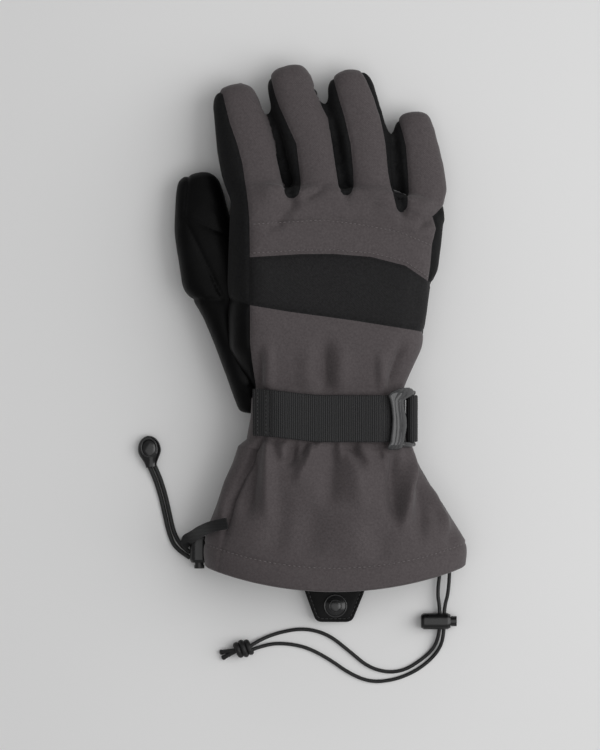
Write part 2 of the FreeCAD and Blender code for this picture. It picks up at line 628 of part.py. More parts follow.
def build_locks():
    facing_right = FreeCAD.Placement(V(71.7, -151.4, LOCK_Z), FreeCAD.Rotation(V(0, 0, 1), 90))
    cord_lock("hem", facing_right, 16.0, 8.9, 8.5, 2.1, 5.1, 3.4)
    facing_down = FreeCAD.Placement(V(-65.7, -119.3, LOCK_Z), FreeCAD.Rotation(V(0, 0, 1), 0))
    cord_lock("leash", facing_down, 14.4, 10.4, 8.5, 1.1, 5.9, 3.2)


# ---------------------------------------------------------------- cords
def build_cords():
    left = round_cord("hem_cord_left", HEM_CORD_LEFT_ROUTE, HEM_CORD)
    right = round_cord("hem_cord_right", HEM_CORD_RIGHT_ROUTE, HEM_CORD)
    write("hem_cord_left", left)
    write("hem_cord_right", right)
    knot = ellipsoid(V(-41.6, -166.4, 4.4), (6.2, 4.6, 4.2), 12)
    tails = []
    for end in (V(-55.0, -168.6, 1.2), V(-54.4, -172.6, 1.2)):
        start = V(-43.0, -167.4, 2.6)
        tails.append(Part.makeCylinder(HEM_CORD / 2, (end - start).Length, start, end - start))
    write("hem_cord_knot", knot.fuse(tails).cut(left).cut(right))

    start = V(*LEASH_TAPE_ROUTE[0])
    direction = unit(V(*LEASH_TAPE_ROUTE[1]) - start)
    across = unit(direction.cross(V(0, 0, 1)))
    normal = across.cross(direction)
    corners = []
    for side, level in ((1, 1), (-1, 1), (-1, -1), (1, -1)):
        corners.append(start + across * (side * TAPE_WIDTH / 2) + normal * (level * TAPE_THICKNESS / 2))
    profile = Part.makePolygon(corners + corners[:1])
    tape = cord("leash_tape", LEASH_TAPE_ROUTE, profile, TAPE_WIDTH * TAPE_THICKNESS)
    write("leash_tape", tape.cut(cuff_skin(0)).cut(box(-70.9, -60, -120, -100, 0, 10)))

    inner = round_cord("leash_cord_inner", LEASH_CORD_INNER_ROUTE, LEASH_CORD)
    outer = round_cord("leash_cord_outer", LEASH_CORD_OUTER_ROUTE, LEASH_CORD)
    write("leash_cord_inner", inner)
    write("leash_cord_outer", outer)
    pull = ellipsoid(V(-93.8, -57.0, 3.4), (6.6, 7.8, 3.3))
    neck = Part.makeCone(3.6, 4.4, 6.0, V(-91.6, -66.6, 3.4), V(-0.25, 1, 0))
    neck_zone = box(-110, -70, -80, -40, 0.4, 6.4)
    write("leash_pull", pull.fuse(neck.common(neck_zone)).cut(inner).cut(outer))


print("wrist hinge pos %s axis (1, 0, 0)" % (tuple(WRIST_AXIS),))
build_hand()
for finger_name in FINGERS:
    build_finger(finger_name)
build_thumb()
build_cuff()
build_strap()
build_tab()
build_locks()
build_cords()
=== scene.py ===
"""Looks of the gauntlet ski glove: sewn fabric panels, webbing, buckle, tab, cord locks and cords."""
import json
import math

import bmesh
import bpy
import numpy as np
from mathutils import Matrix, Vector
from mathutils.bvhtree import BVHTree
from mathutils.kdtree import KDTree


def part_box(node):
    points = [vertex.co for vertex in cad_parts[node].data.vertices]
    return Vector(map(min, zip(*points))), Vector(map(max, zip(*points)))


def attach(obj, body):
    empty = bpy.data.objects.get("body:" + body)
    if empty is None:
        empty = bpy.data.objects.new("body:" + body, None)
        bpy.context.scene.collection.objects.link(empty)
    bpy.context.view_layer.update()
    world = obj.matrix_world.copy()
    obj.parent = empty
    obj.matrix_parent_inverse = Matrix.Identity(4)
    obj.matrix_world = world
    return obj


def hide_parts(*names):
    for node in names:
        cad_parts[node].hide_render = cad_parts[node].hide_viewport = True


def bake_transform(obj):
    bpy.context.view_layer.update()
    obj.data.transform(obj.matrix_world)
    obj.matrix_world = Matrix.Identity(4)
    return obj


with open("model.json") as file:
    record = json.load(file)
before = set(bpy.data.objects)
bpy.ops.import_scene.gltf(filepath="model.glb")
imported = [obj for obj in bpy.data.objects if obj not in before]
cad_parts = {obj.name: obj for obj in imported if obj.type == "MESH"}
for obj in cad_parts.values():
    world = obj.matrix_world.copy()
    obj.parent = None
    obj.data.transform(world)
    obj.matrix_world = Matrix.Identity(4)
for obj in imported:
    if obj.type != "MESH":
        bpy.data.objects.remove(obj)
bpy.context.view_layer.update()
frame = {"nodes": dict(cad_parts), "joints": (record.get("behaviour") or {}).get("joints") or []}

MM = 0.001
UP = (0.0, 0.0, 1.0)
FINGERS = ("index", "middle", "ring", "little")
HAND_NODES = ("knuckle_panel", "crest_panel", "back_band", "wrist_back_panel", "palm_panel",
              "outer_side_panel", "index_side_panel", "wrist_side_panel")
HAND_INTERVALS = ((-24.5, -1.5), (-2.5, 34.5), (33.5, 64.5), (63.5, 85.0))
TUCK_Y = -34.0          # the hand's fabric reaches this far under the strap
VOXEL = 2.4             # millimetres between the points of the simulated fabric
PUFF_CAP = 3.0          # the most that padding may move the fabric
CLOTH_PRESSURE = 5.0
PIN_WIDTH = 3.0         # the fabric is held this near to its seams

# seams across the back of the hand, as (x, y) points from the thumb side to the outer side
CREST_SEAM = (
    (-50, 65.5), (-37, 66.2), (1.7, 68.6), (22.5, 66.3), (43.3, 62.3), (58.9, 55.9), (75, 47),
)
BAND_TOP_SEAM = (
    (-60, 46.0), (-39, 46.6), (-10, 48.4), (7, 48.6), (27.7, 47.1), (46.4, 42.4), (58.9, 34.1), (75, 20),
)
BAND_LOW_SEAM = ((-60, 24.0), (-39, 21.0), (-16, 17.2), (19.3, 12.5), (56.5, 6.6), (75, 3.6))
THUMB_SIDE_SEAM = ((-80, 27.5), (-50, 24.6), (-38, 21.0))

# between two fingers, as (y, right edge of the one's taupe back, left edge of the next one's)
FINGER_GAPS = (
    ((75, -9, -20), (78.9, -14.5, -14.5), (79.6, -16.6, -12.4), (81.2, -17.8, -11.2), (84, -18.4, -10.5),
     (93.2, -19.8, -11.2), (108.5, -23.0, -12.7), (120.7, -26.8, -18.4), (129, -30.0, -22.4),
     (135, -31.0, -24.6), (139, -32.0, -25.7), (147, -33.0, -27.5), (151, -33.0, -32.0)),
    ((77, 18, 11), (81.1, 14.9, 14.9), (81.8, 13.0, 16.4), (83.4, 12.1, 17.4), (86, 11.6, 17.9),
     (93.2, 10.7, 18.0), (108.5, 8.7, 16.7), (123.8, 4.7, 13.2), (131, 1.2, 10.9), (139, -2.5, 8.5),
     (144, -0.5, 7.3), (147, -0.5, 6.7), (151, -0.5, 1.0)),
    ((68, 48, 42), (71.9, 45.0, 45.0), (72.6, 43.4, 46.4), (74.8, 42.0, 47.2), (83, 40.2, 48.0),
     (93.2, 37.8, 47.8), (108.5, 36.6, 46.6), (118.7, 34.6, 43.7), (124.5, 33.3, 41.9), (128, 32.0, 37.0),
     (134, 30.2, 36.0), (144.2, 25.9, 34.0), (151, 22.0, 33.0)),
)
# where the taupe stops on the thumb's side of the hand and index finger, as (y, x) points
THUMB_EDGE = (
    (-26, -35.2), (0, -37.8), (47, -37.8), (66.6, -38.0), (75, -38.8), (85, -40.0), (97.3, -41.6),
    (108.5, -44.6), (120.7, -49.0), (136.5, -53.0), (141, -60.0),
)
# where the taupe stops on the outer side of the hand, as (y, x) points
OUTER_EDGE = (
    (30, 75.0), (33.4, 59.2), (42, 60.4), (54, 61.4), (62.5, 63.6), (69.5, 62.2), (74.5, 67.0), (79, 78.0),
)

# folds: (x, y) of one end, (x, y) of the other, half-width, height (negative is a crease)
HAND_FOLDS = (
    (-27.2, 1, -27.6, -24.5, 2.6, 2.6), (-32.2, -2, -32.6, -25, 3.0, -2.8), (3.4, 4, 2.4, -25, 4.6, -4.2),
    (12.0, 1, 11.4, -25, 4.6, 2.0), (-6.5, 0, -6.0, -24, 5.0, 1.8), (46.5, 4, 37.4, -26, 3.6, -4.8),
    (33.0, -4, 34.6, -26, 2.4, 2.6), (-24.2, 64.8, -12.6, 78.0, 3.6, -2.6),
    (18.0, 82.0, 60.0, 66.1, 2.2, -1.9), (4.0, 84.5, -8.2, 78.4, 2.2, -2.0), (-32, 78, -20, 86, 5.0, 1.6),
    (30, 75, 44, 70, 4.0, 1.4), (52, 62, 62, 70, 2.4, -2.2), (-30, 62, -20, 64.5, 1.8, -1.4),
    (-25.0, 122, -14.8, 78, 2.2, -4.6), (7.5, 122, 14.9, 80, 2.2, -4.6), (39.5, 114, 45.0, 71, 2.2, -4.6),
)
CUFF_FOLDS = (
    (-27.6, -49, -28.4, -92, 3.4, 3.6), (-34.6, -52, -40.0, -92, 4.0, -4.4),
    (-20.0, -52, -19.0, -63, 2.4, 2.2), (-13.2, -50, -16.5, -66, 3.0, -3.4),
    (0.5, -50, -12.0, -74, 3.2, 2.8), (-5.5, -49, -9.0, -60, 2.0, -2.4), (7.0, -50, 5.5, -86, 5.5, -3.4),
    (12.5, -49, 25.0, -67, 2.8, -3.8), (21.0, -55, 21.5, -88, 6.0, 2.8), (31.0, -50, 33.5, -62, 2.0, -2.6),
    (35.4, -54, 36.6, -71, 2.0, 2.4), (39.0, -54, 41.5, -95, 4.4, -4.8), (51.4, -56, 46.0, -97, 2.8, 4.6),
    (55.5, -60, 55.0, -104, 3.6, -3.4), (60.5, -68, 68.6, -102, 2.6, 3.4),
    (61.5, -70, 68.0, -92, 1.8, -2.6), (-3.0, -82, -8.0, -114, 9.0, -2.4),
    (16.0, -90, 22.0, -116, 10.0, 2.0), (-49.0, -62, -53.5, -96, 3.6, 2.4),
    (-20, -78, -24, -112, 7.0, -2.2), (34, -96, 30, -116, 7.0, -1.8), (70.0, -100, 73.0, -114, 3.0, -1.8),
)
CUFF_FOLD_GAIN = 1.2
DEEPEST_FOLD = 5.6      # so that no fold reaches the lining


# ---------------------------------------------------------------- small tools
def smoothstep(low, high, values):
    t = np.clip((values - low) / (high - low), 0, 1)
    return t * t * (3 - 2 * t)


def table_at(table, at, column=1):
    """A table's column at the places given; each row of the table starts with its own place."""
    rows = sorted(table)
    return np.interp(at, [row[0] for row in rows], [row[column] for row in rows])


def arc_lengths(points):
    return np.concatenate([[0], np.cumsum(np.linalg.norm(np.diff(points, axis=0), axis=1))])


def link(obj):
    bpy.context.scene.collection.objects.link(obj)
    return obj


def mesh_object(name, points, faces):
    """A mesh piece from points in millimetres."""
    mesh = bpy.data.meshes.new(name)
    mesh.from_pydata([Vector(p) * MM for p in points], [], [tuple(f) for f in faces])
    mesh.update()
    return link(bpy.data.objects.new(name, mesh))


def mesh_points(mesh):
    flat = np.empty(len(mesh.vertices) * 3)
    mesh.vertices.foreach_get("co", flat)
    return flat.reshape(-1, 3) / MM


def set_mesh_points(mesh, points):
    mesh.vertices.foreach_set("co", (points * MM).ravel())
    mesh.update()


def node_points(*names):
    return np.vstack([mesh_points(frame["nodes"][name].data) for name in names])


def baked(obj):
    """The object's mesh with its modifiers applied, in place."""
    depsgraph = bpy.context.evaluated_depsgraph_get()
    mesh = bpy.data.meshes.new_from_object(obj.evaluated_get(depsgraph))
    obj.modifiers.clear()
    old = obj.data
    obj.data = mesh
    bpy.data.meshes.remove(old)
    return obj


def add_modifier(obj, kind, **settings):
    modifier = obj.modifiers.new(kind.lower(), kind)
    for key, value in settings.items():
        setattr(modifier, key, value)
    return modifier


def remove(obj):
    bpy.data.objects.remove(obj, do_unlink=True)


def smooth(mesh):
    mesh.polygons.foreach_set("use_smooth", [True] * len(mesh.polygons))


def face_outward(obj):
    bm = bmesh.new()
    bm.from_mesh(obj.data)
    bmesh.ops.recalc_face_normals(bm, faces=bm.faces)
    bm.to_mesh(obj.data)
    bm.free()


def dress(piece, material, slot, *nodes, fill=None, body="gauntlet", bend=None):
    """Give a piece its material, the nodes it stands for, and the body that moves it, unless it has a bend;
    its finish (slot) is not used.
    """
    piece.data.materials.append(material)
    if piece.type == "MESH":
        smooth(piece.data)
    if nodes:
        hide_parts(*nodes)
    if bend:
        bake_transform(piece)
    else:
        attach(piece, body)


# ---------------------------------------------------------------- materials
def new_material(name):
    """A material with its node tree, its shader and the object's own coordinates."""
    material = bpy.data.materials.new(name)
    material.use_nodes = True
    tree = material.node_tree
    position = tree.nodes.new("ShaderNodeTexCoord").outputs["Object"]
    return material, tree, tree.nodes["Principled BSDF"], position


def set_inputs(node, **values):
    """Set a node's inputs by name, with _ for a space."""
    for name, value in values.items():
        node.inputs[name.replace("_", " ")].default_value = value


def texture(tree, kind, position, settings, **values):
    """A texture node's outputs, from its properties (settings) and inputs (values); scales are per metre."""
    node = tree.nodes.new("ShaderNodeTex" + kind)
    for key, value in settings.items():
        setattr(node, key, value)
    set_inputs(node, **values)
    tree.links.new(position, node.inputs["Vector"])
    return node.outputs


def noise(tree, position, scale, detail):
    return texture(tree, "Noise", position, {}, Scale=scale, Detail=detail, Roughness=0.55)["Fac"]


def set_colour(tree, shader, factor, dark, light):
    """Mix two colours by a texture's output and give them to the shader."""
    ramp = tree.nodes.new("ShaderNodeValToRGB")
    for element, position, colour in zip(ramp.color_ramp.elements, (0.3, 0.7), (dark, light)):
        element.position = position
        element.color = (*colour, 1)
    tree.links.new(factor, ramp.inputs["Fac"])
    tree.links.new(ramp.outputs["Color"], shader.inputs["Base Color"])


def add_bumps(tree, shader, layers):
    """layers: (height socket, strength, distance in millimetres), from the coarsest to the finest."""
    normal = None
    for height, strength, distance in layers:
        bump = tree.nodes.new("ShaderNodeBump")
        set_inputs(bump, Strength=strength, Distance=distance * MM)
        tree.links.new(height, bump.inputs["Height"])
        if normal:
            tree.links.new(normal, bump.inputs["Normal"])
        normal = bump.outputs["Normal"]
    tree.links.new(normal, shader.inputs["Normal"])


def fabric(name, dark, light, roughness, sheen, weave=1400, weave_depth=0.12, mottle=0.3, shine=0.25):
    """Woven cloth: mottled colour, a fine twill and a soft nap."""
    material, tree, shader, position = new_material(name)
    set_colour(tree, shader, noise(tree, position, 900, 2.0), dark, light)
    diagonal = {"bands_direction": "DIAGONAL"}
    twill = texture(tree, "Wave", position, diagonal, Scale=weave / 2, Distortion=1.5, Detail=1.0)["Fac"]
    broad = noise(tree, position, 55, 4.0)
    grain = noise(tree, position, weave, 2.0)
    add_bumps(tree, shader, [(broad, mottle, 0.9), (twill, 0.25, weave_depth), (grain, 0.5, weave_depth)])
    set_inputs(shader, Roughness=roughness, Specular_IOR_Level=shine)
    set_inputs(shader, Sheen_Weight=sheen, Sheen_Roughness=0.45)
    return material


def leather(name, dark, light, roughness):
    """Smooth synthetic leather: pebbled grain over slow creases."""
    material, tree, shader, position = new_material(name)
    set_colour(tree, shader, noise(tree, position, 70, 4.0), dark, light)
    pebbles = texture(tree, "Voronoi", position, {}, Scale=900)
    add_bumps(tree, shader, [(noise(tree, position, 40, 5.0), 0.35, 0.8), (pebbles["Distance"], 0.35, 0.12)])
    set_inputs(shader, Roughness=roughness, Specular_IOR_Level=0.09)
    return material


def webbing_cloth(name, dark, light, across, scale=620):
    """Ribbed webbing: rows of knots along and across the band, with a painted highlight on the raised ribs
    and painted shade in the hollows between them.
    """
    material, tree, shader, position = new_material(name)
    direction = {"bands_direction": across}
    rows = texture(tree, "Wave", position, direction, Scale=scale / 2, Distortion=0.8, Detail=1.0)["Fac"]
    threads = noise(tree, position, 1300, 2.0)
    # painted light: the colour follows the ribs' height, lighter as a painted highlight on the ribs and
    # darker as painted shade between them
    set_colour(tree, shader, rows, dark, light)
    add_bumps(tree, shader, [(rows, 0.7, 0.25), (threads, 0.6, 0.12)])
    set_inputs(shader, Roughness=0.6, Sheen_Weight=0.04, Specular_IOR_Level=0.25)
    return material


def moulded(name, colour, roughness, texture_depth, metallic=0.0):
    """Moulded plastic, rubber or metal with a faint surface grain and worn patches."""
    material, tree, shader, position = new_material(name)
    wear = noise(tree, position, 240, 5.0)
    ramp = tree.nodes.new("ShaderNodeMapRange")
    set_inputs(ramp, To_Min=max(0.05, roughness - 0.07), To_Max=roughness + 0.1)
    tree.links.new(wear, ramp.inputs["Value"])
    tree.links.new(ramp.outputs["Result"], shader.inputs["Roughness"])
    set_colour(tree, shader, wear, colour, [min(1.0, c * 1.35 + 0.002) for c in colour])
    add_bumps(tree, shader, [(noise(tree, position, 1100, 2.0), 0.3, texture_depth)])
    set_inputs(shader, Metallic=metallic)
    return material


def braid(name, dark, light):
    """Braided cord sleeve: crossing strands as a fine checker of bumps."""
    material, tree, shader, position = new_material(name)
    strands = texture(tree, "Voronoi", position, {"distance": "CHEBYCHEV"}, Scale=1500)["Distance"]
    set_colour(tree, shader, strands, light, dark)
    add_bumps(tree, shader, [(strands, 0.7, 0.2)])
    set_inputs(shader, Roughness=0.55, Specular_IOR_Level=0.4)
    return material


TAUPE = fabric("taupe_softshell", (0.061, 0.0515, 0.0535), (0.085, 0.0735, 0.0755), 0.78, 0.12)
BLACK = fabric("black_softshell", (0.0055, 0.0055, 0.0058), (0.0105, 0.0105, 0.011), 0.7, 0.02, shine=0.1)
BAND = fabric("black_band", (0.0068, 0.0066, 0.007), (0.0135, 0.013, 0.0138), 0.62, 0.02, weave=1000,
              weave_depth=0.16, mottle=0.12, shine=0.14)
LEATHER = leather("palm_leather", (0.0014, 0.0014, 0.0015), (0.0034, 0.0034, 0.0036), 0.46)
TAB_LEATHER = leather("tab_leather", (0.005, 0.005, 0.0052), (0.0095, 0.0095, 0.0098), 0.5)
LINING = fabric("lining_fleece", (0.006, 0.006, 0.0065), (0.013, 0.013, 0.0135), 0.9, 0.3, weave=800)
# webbing and elastic tape: the lighter colour is a painted highlight on the ribs, the darker one painted
# shade between them
WEBBING = webbing_cloth("ribbed_webbing", (0.0055, 0.0055, 0.006), (0.026, 0.026, 0.027), "X")
TAPE = webbing_cloth("elastic_tape", (0.004, 0.004, 0.0043), (0.014, 0.014, 0.0145), "Y", 800)
GLOSS = moulded("buckle_gloss", (0.03, 0.03, 0.031), 0.2, 0.02)
PLASTIC = moulded("lock_plastic", (0.005, 0.005, 0.0053), 0.28, 0.05)
RUBBER = moulded("pull_rubber", (0.005, 0.005, 0.0053), 0.17, 0.02)
CAP_PAINT = moulded("snap_paint", (0.012, 0.012, 0.0125), 0.22, 0.02)
STEEL = moulded("spring_steel", (0.5, 0.5, 0.51), 0.3, 0.01, metallic=1.0)
CORD = braid("braided_cord", (0.0025, 0.0025, 0.0027), (0.01, 0.01, 0.0105))
TAUPE_THREAD = moulded("taupe_thread", (0.1, 0.088, 0.09), 0.6, 0.05)
BLACK_THREAD = moulded("black_thread", (0.03, 0.03, 0.031), 0.6, 0.05)


# ---------------------------------------------------------------- camera, light and floor
PLAN_WIDTH = 326.1      # millimetres of the plan that the picture is wide
VIEW_CENTRE = (-10.6, -16.7)
CAMERA_HEIGHT = 2600.0
VIEW_LEVEL = 22.0       # the height at which the plan width holds


FLOOR_REACH = 4000.0
SENSOR_WIDTH = 36.0
WORLD_LIGHT = 0.29
# name, place, the point it faces, size in metres, power in watts
LIGHTS = (
    ("key", (1.0, 0.0, 0.95), (0.0, -0.02, 0.0), (1.2, 1.4), 12.0),
    ("fill", (0.15, -0.25, 1.7), (-0.05, -0.05, 0.0), (1.6, 1.6), 7.2),
    ("rim", (0.1, 1.1, 0.7), (0.0, 0.05, 0.02), (0.9, 0.4), 0.8),
)


def add_light(name, location, target, size, power):
    data = bpy.data.lights.new(name, "AREA")
    data.shape = "RECTANGLE"
    data.size, data.size_y = size
    data.energy = power
    light = link(bpy.data.objects.new(name, data))
    light.location = location
    light.rotation_euler = (Vector(target) - Vector(location)).to_track_quat("-Z", "Y").to_euler()


def build_stage():
    corners = [(x * FLOOR_REACH, y * FLOOR_REACH, 0) for x, y in ((-1, -1), (1, -1), (1, 1), (-1, 1))]
    floor = mesh_object("floor", corners, [(0, 1, 2, 3)])
    material, tree, shader, position = new_material("paper_floor")
    set_inputs(shader, Base_Color=(0.77, 0.77, 0.77, 1), Roughness=0.85)
    add_bumps(tree, shader, [(noise(tree, position, 300, 3.0), 0.08, 0.2)])
    floor.data.materials.append(material)

    scene = bpy.context.scene
    lens = bpy.data.cameras.new("camera")
    lens.sensor_fit = "HORIZONTAL"
    lens.sensor_width = SENSOR_WIDTH
    lens.lens = SENSOR_WIDTH * (CAMERA_HEIGHT - VIEW_LEVEL) / PLAN_WIDTH
    lens.clip_end = 100
    camera = link(bpy.data.objects.new("camera", lens))
    camera.location = (VIEW_CENTRE[0] * MM, VIEW_CENTRE[1] * MM, CAMERA_HEIGHT * MM)
    scene.camera = camera

    for light in LIGHTS:
        add_light(*light)
    scene.world = scene.world or bpy.data.worlds.new("world")
    scene.world.use_nodes = True
    set_inputs(scene.world.node_tree.nodes["Background"], Color=(1, 1, 1, 1), Strength=WORLD_LIGHT)
    scene.view_settings.view_transform = "Standard"


build_stage()


# ---------------------------------------------------------------- hand: finger frames and seam functions
BASE_PART = 8               # the length at a finger's root where its base is measured
TIP_PART = (14, 6)          # and where its tip is, from its end
ROUND_TIP = 9               # the length of its rounded end
SKIN_DEPTH = 0.35           # of the fabric's middle under its outside
FINGER_WIDENING = 0.16      # at most, of the fabric over the solid


class Stall:
    """The local frame of a finger or of the thumb: x across, y along, z up out of its back."""

    def __init__(self, name, flex_joint):
        joint = next(j for j in frame["joints"] if j["name"] == flex_joint)
        self.name = name
        self.origin = np.array(joint["pos_m"]) / MM
        self.x = -np.array(joint["axis"], float)
        cloud = node_points(name + "_palm") - self.origin
        flat = cloud - np.outer(cloud @ self.x, self.x)
        reach = np.linalg.norm(flat, axis=1)
        far = reach > 0.6 * reach.max()
        up = np.cross(self.x, [0.0, 1.0, 0.0])
        up /= np.linalg.norm(up)
        level = np.cross(up, self.x)
        slopes = np.arctan2(flat[far] @ up, flat[far] @ level)
        slope = slopes.min()
        self.y = level * math.cos(slope) + up * math.sin(slope)
        self.z = np.cross(self.x, self.y)
        skin = self.local(self.skin())
        self.length = skin[:, 1].max()
        base = skin[:, 1] < BASE_PART
        tip = (skin[:, 1] > self.length - TIP_PART[0]) & (skin[:, 1] < self.length - TIP_PART[1])
        self.half_widths = (np.abs(skin[base, 0]).max(), np.abs(skin[tip, 0]).max())
        self.heights = (skin[base, 2].max(), skin[tip, 2].max())
        lean, trim = FINGER_FIT[name]
        self.pivot = self.origin.copy()
        self.shortening = 1 - trim / self.length
        self.length -= trim
        self.origin = self.origin - np.array([lean, 0, 0])

    def skin(self):
        return node_points(*[self.name + ending for ending in ("_back", "_palm", "_fourchettes")])

    def local(self, points):
        return (points - self.origin) @ np.array([self.x, self.y, self.z]).T

    def fitted(self, points):
        """Local points of the finger's solid, shortened to its fabric."""
        local = (points - self.pivot) @ np.array([self.x, self.y, self.z]).T
        share = local[:, 1] / self.length
        local[:, 0] *= 1 + FINGER_WIDENING * smoothstep(-0.15, 0.25, share) * smoothstep(0.8, 0.4, share)
        local[:, 1] *= self.shortening
        return local

    def place(self, points):
        return self.origin + points @ np.array([self.x, self.y, self.z])

    def fields(self, points):
        """Local points, half-width, middle height and half-height there, and the share of the length."""
        local = self.local(points)
        share = np.clip(local[:, 1] / (self.length - ROUND_TIP), 0, 1)
        half_width = self.half_widths[0] + (self.half_widths[1] - self.half_widths[0]) * share
        height = self.heights[0] + (self.heights[1] - self.heights[0]) * share
        return local, half_width, height / 2 - SKIN_DEPTH, height / 2 + SKIN_DEPTH, share


# how far each finger's fabric leans to the thumb's side of its solid, and how much shorter it is
FINGER_FIT = {"index": (3.6, 3.0), "middle": (0.2, 2.2), "ring": (1.2, 1.0), "little": (-0.4, 0.4)}
STALLS = [Stall(name, name + "_flex") for name in FINGERS]


def height_on_finger(stall, points):
    """Positive above the seam between a finger's back and its sides."""
    local, _, middle, half_height, share = stall.fields(points)
    rise = local[:, 2] - (middle + 0.1 * half_height)
    tip = local[:, 2] - (middle - 0.35 * half_height)
    near_end = smoothstep(stall.length - 8, stall.length - 2, local[:, 1])
    return np.where(share >= 1, np.maximum(rise, tip * near_end), rise)


def inside_edges(points):
    """Positive in the plan of the taupe back: away from the gaps between the fingers and from both sides."""
    x, y = points[:, 0], points[:, 1]
    field = np.minimum(x - table_at(THUMB_EDGE, y), table_at(OUTER_EDGE, y) - x)
    for gap in FINGER_GAPS:
        field = np.minimum(field, np.maximum(table_at(gap, y) - x, x - table_at(gap, y, 2)))
    return field


def finger_blend(points):
    """Each point's way along its finger, blended between neighbours, the finger's number, and the offsets."""
    places = [stall.local(points) for stall in STALLS]
    alongs = np.array([place[:, 1] for place in places])
    offsets = np.array([place[:, 0] / stall.half_widths[0] for place, stall in zip(places, STALLS)])
    weights = np.exp(-(offsets * 1.6) ** 2) + 1e-9
    along = (alongs * weights).sum(0) / weights.sum(0)
    return along, np.abs(offsets).argmin(0), np.abs(offsets)


def on_fingers(height_of, points, nearest):
    """The height that height_of gives on each point's own finger."""
    heights = np.empty(len(points))
    for index, stall in enumerate(STALLS):
        mine = nearest == index
        if mine.any():
            heights[mine] = height_of(stall, points[mine])
    return heights


HAND_TO_FINGER = (-9, 3)        # how far along a finger the hand's seams turn into the finger's
BACK_LEVEL, PALM_LEVEL = 1.5, -8.0      # heights of the seams round the hand, over its middle surface
# y, roll in degrees and height of the hand's middle surface
HAND_MIDDLE = ((-28, 0, 22.0), (-2, 4, 24.3), (34, 7, 26.7), (64, 8, 27.2), (90, 8, 26.2))
HAND_CENTRE = ((-28, 4.8), (64, 8.0))       # y and x of its middle line


def hand_level(points):
    """Height over the hand's middle surface, which leans down to the outer side."""
    roll = np.radians(table_at(HAND_MIDDLE, points[:, 1]))
    middle = table_at(HAND_MIDDLE, points[:, 1], 2)
    centre = table_at(HAND_CENTRE, points[:, 1])
    return (points[:, 2] - middle) * np.cos(roll) + (points[:, 0] - centre) * np.sin(roll)


def depth_on_finger(stall, points):
    """Positive below the seam between a finger's palm and its sides."""
    local, _, middle, half_height, _ = stall.fields(points)
    return (middle - 0.45 * half_height) - local[:, 2]


def back_field(points):
    """Positive on the taupe and banded back of the hand and fingers."""
    along, nearest, _ = finger_blend(points)
    share = smoothstep(*HAND_TO_FINGER, along)
    fingers = on_fingers(height_on_finger, points, nearest)
    return np.minimum(inside_edges(points), (hand_level(points) - BACK_LEVEL) * (1 - share) + fingers * share)


def palm_field(points):
    """Positive on the palm side of the hand and fingers."""
    along, nearest, _ = finger_blend(points)
    share = smoothstep(*HAND_TO_FINGER, along)
    fingers = on_fingers(depth_on_finger, points, nearest)
    return (PALM_LEVEL - hand_level(points)) * (1 - share) + fingers * share


# ---------------------------------------------------------------- hand: solid, padding and cuts
def hull(bm, points):
    verts = [bm.verts.new(Vector(p) * MM) for p in points]
    result = bmesh.ops.convex_hull(bm, input=verts)
    unused = [v for v in result["geom_interior"] if isinstance(v, bmesh.types.BMVert)]
    bmesh.ops.delete(bm, geom=list(set(unused)), context="VERTS")


def remeshed(name, clouds, voxel, smoothing):
    """One closed mesh around several point clouds' hulls."""
    bm = bmesh.new()
    for cloud in clouds:
        hull(bm, cloud)
    mesh = bpy.data.meshes.new(name)
    bm.to_mesh(mesh)
    bm.free()
    obj = link(bpy.data.objects.new(name, mesh))
    add_modifier(obj, "REMESH", mode="VOXEL", voxel_size=voxel * MM)
    add_modifier(obj, "SMOOTH", factor=0.5, iterations=smoothing)
    return baked(obj)


def padded_by_cloth(obj, pinned, pressure, cap, frames):
    """Swell a closed mesh with Blender's cloth, with each point's pin weight and the cap in millimetres."""
    before = mesh_points(obj.data)
    group = obj.vertex_groups.new(name="seams")
    for level in range(1, 11):
        chosen = np.nonzero(np.round(pinned * 10) == level)[0].tolist()
        if chosen:
            group.add(chosen, level / 10, "REPLACE")
    cloth = obj.modifiers.new("cloth", "CLOTH")
    settings = cloth.settings
    settings.quality = 4
    settings.mass = 0.15
    settings.tension_stiffness = 12
    settings.compression_stiffness = 12
    settings.shear_stiffness = 4
    settings.bending_stiffness = 0.6
    settings.vertex_group_mass = "seams"
    settings.use_pressure = True
    settings.uniform_pressure_force = pressure
    settings.effector_weights.gravity = 0
    cloth.collision_settings.use_collision = False
    cloth.point_cache.frame_start = 1
    cloth.point_cache.frame_end = frames
    scene = bpy.context.scene
    for number in range(1, frames + 1):
        scene.frame_set(number)
    baked(obj)
    scene.frame_set(1)
    after = mesh_points(obj.data)
    moved = after - before
    length = np.linalg.norm(moved, axis=1, keepdims=True)
    scale = np.minimum(1.0, cap / np.maximum(length, 1e-6))
    set_mesh_points(obj.data, before + moved * scale)
    obj.vertex_groups.clear()
    return obj


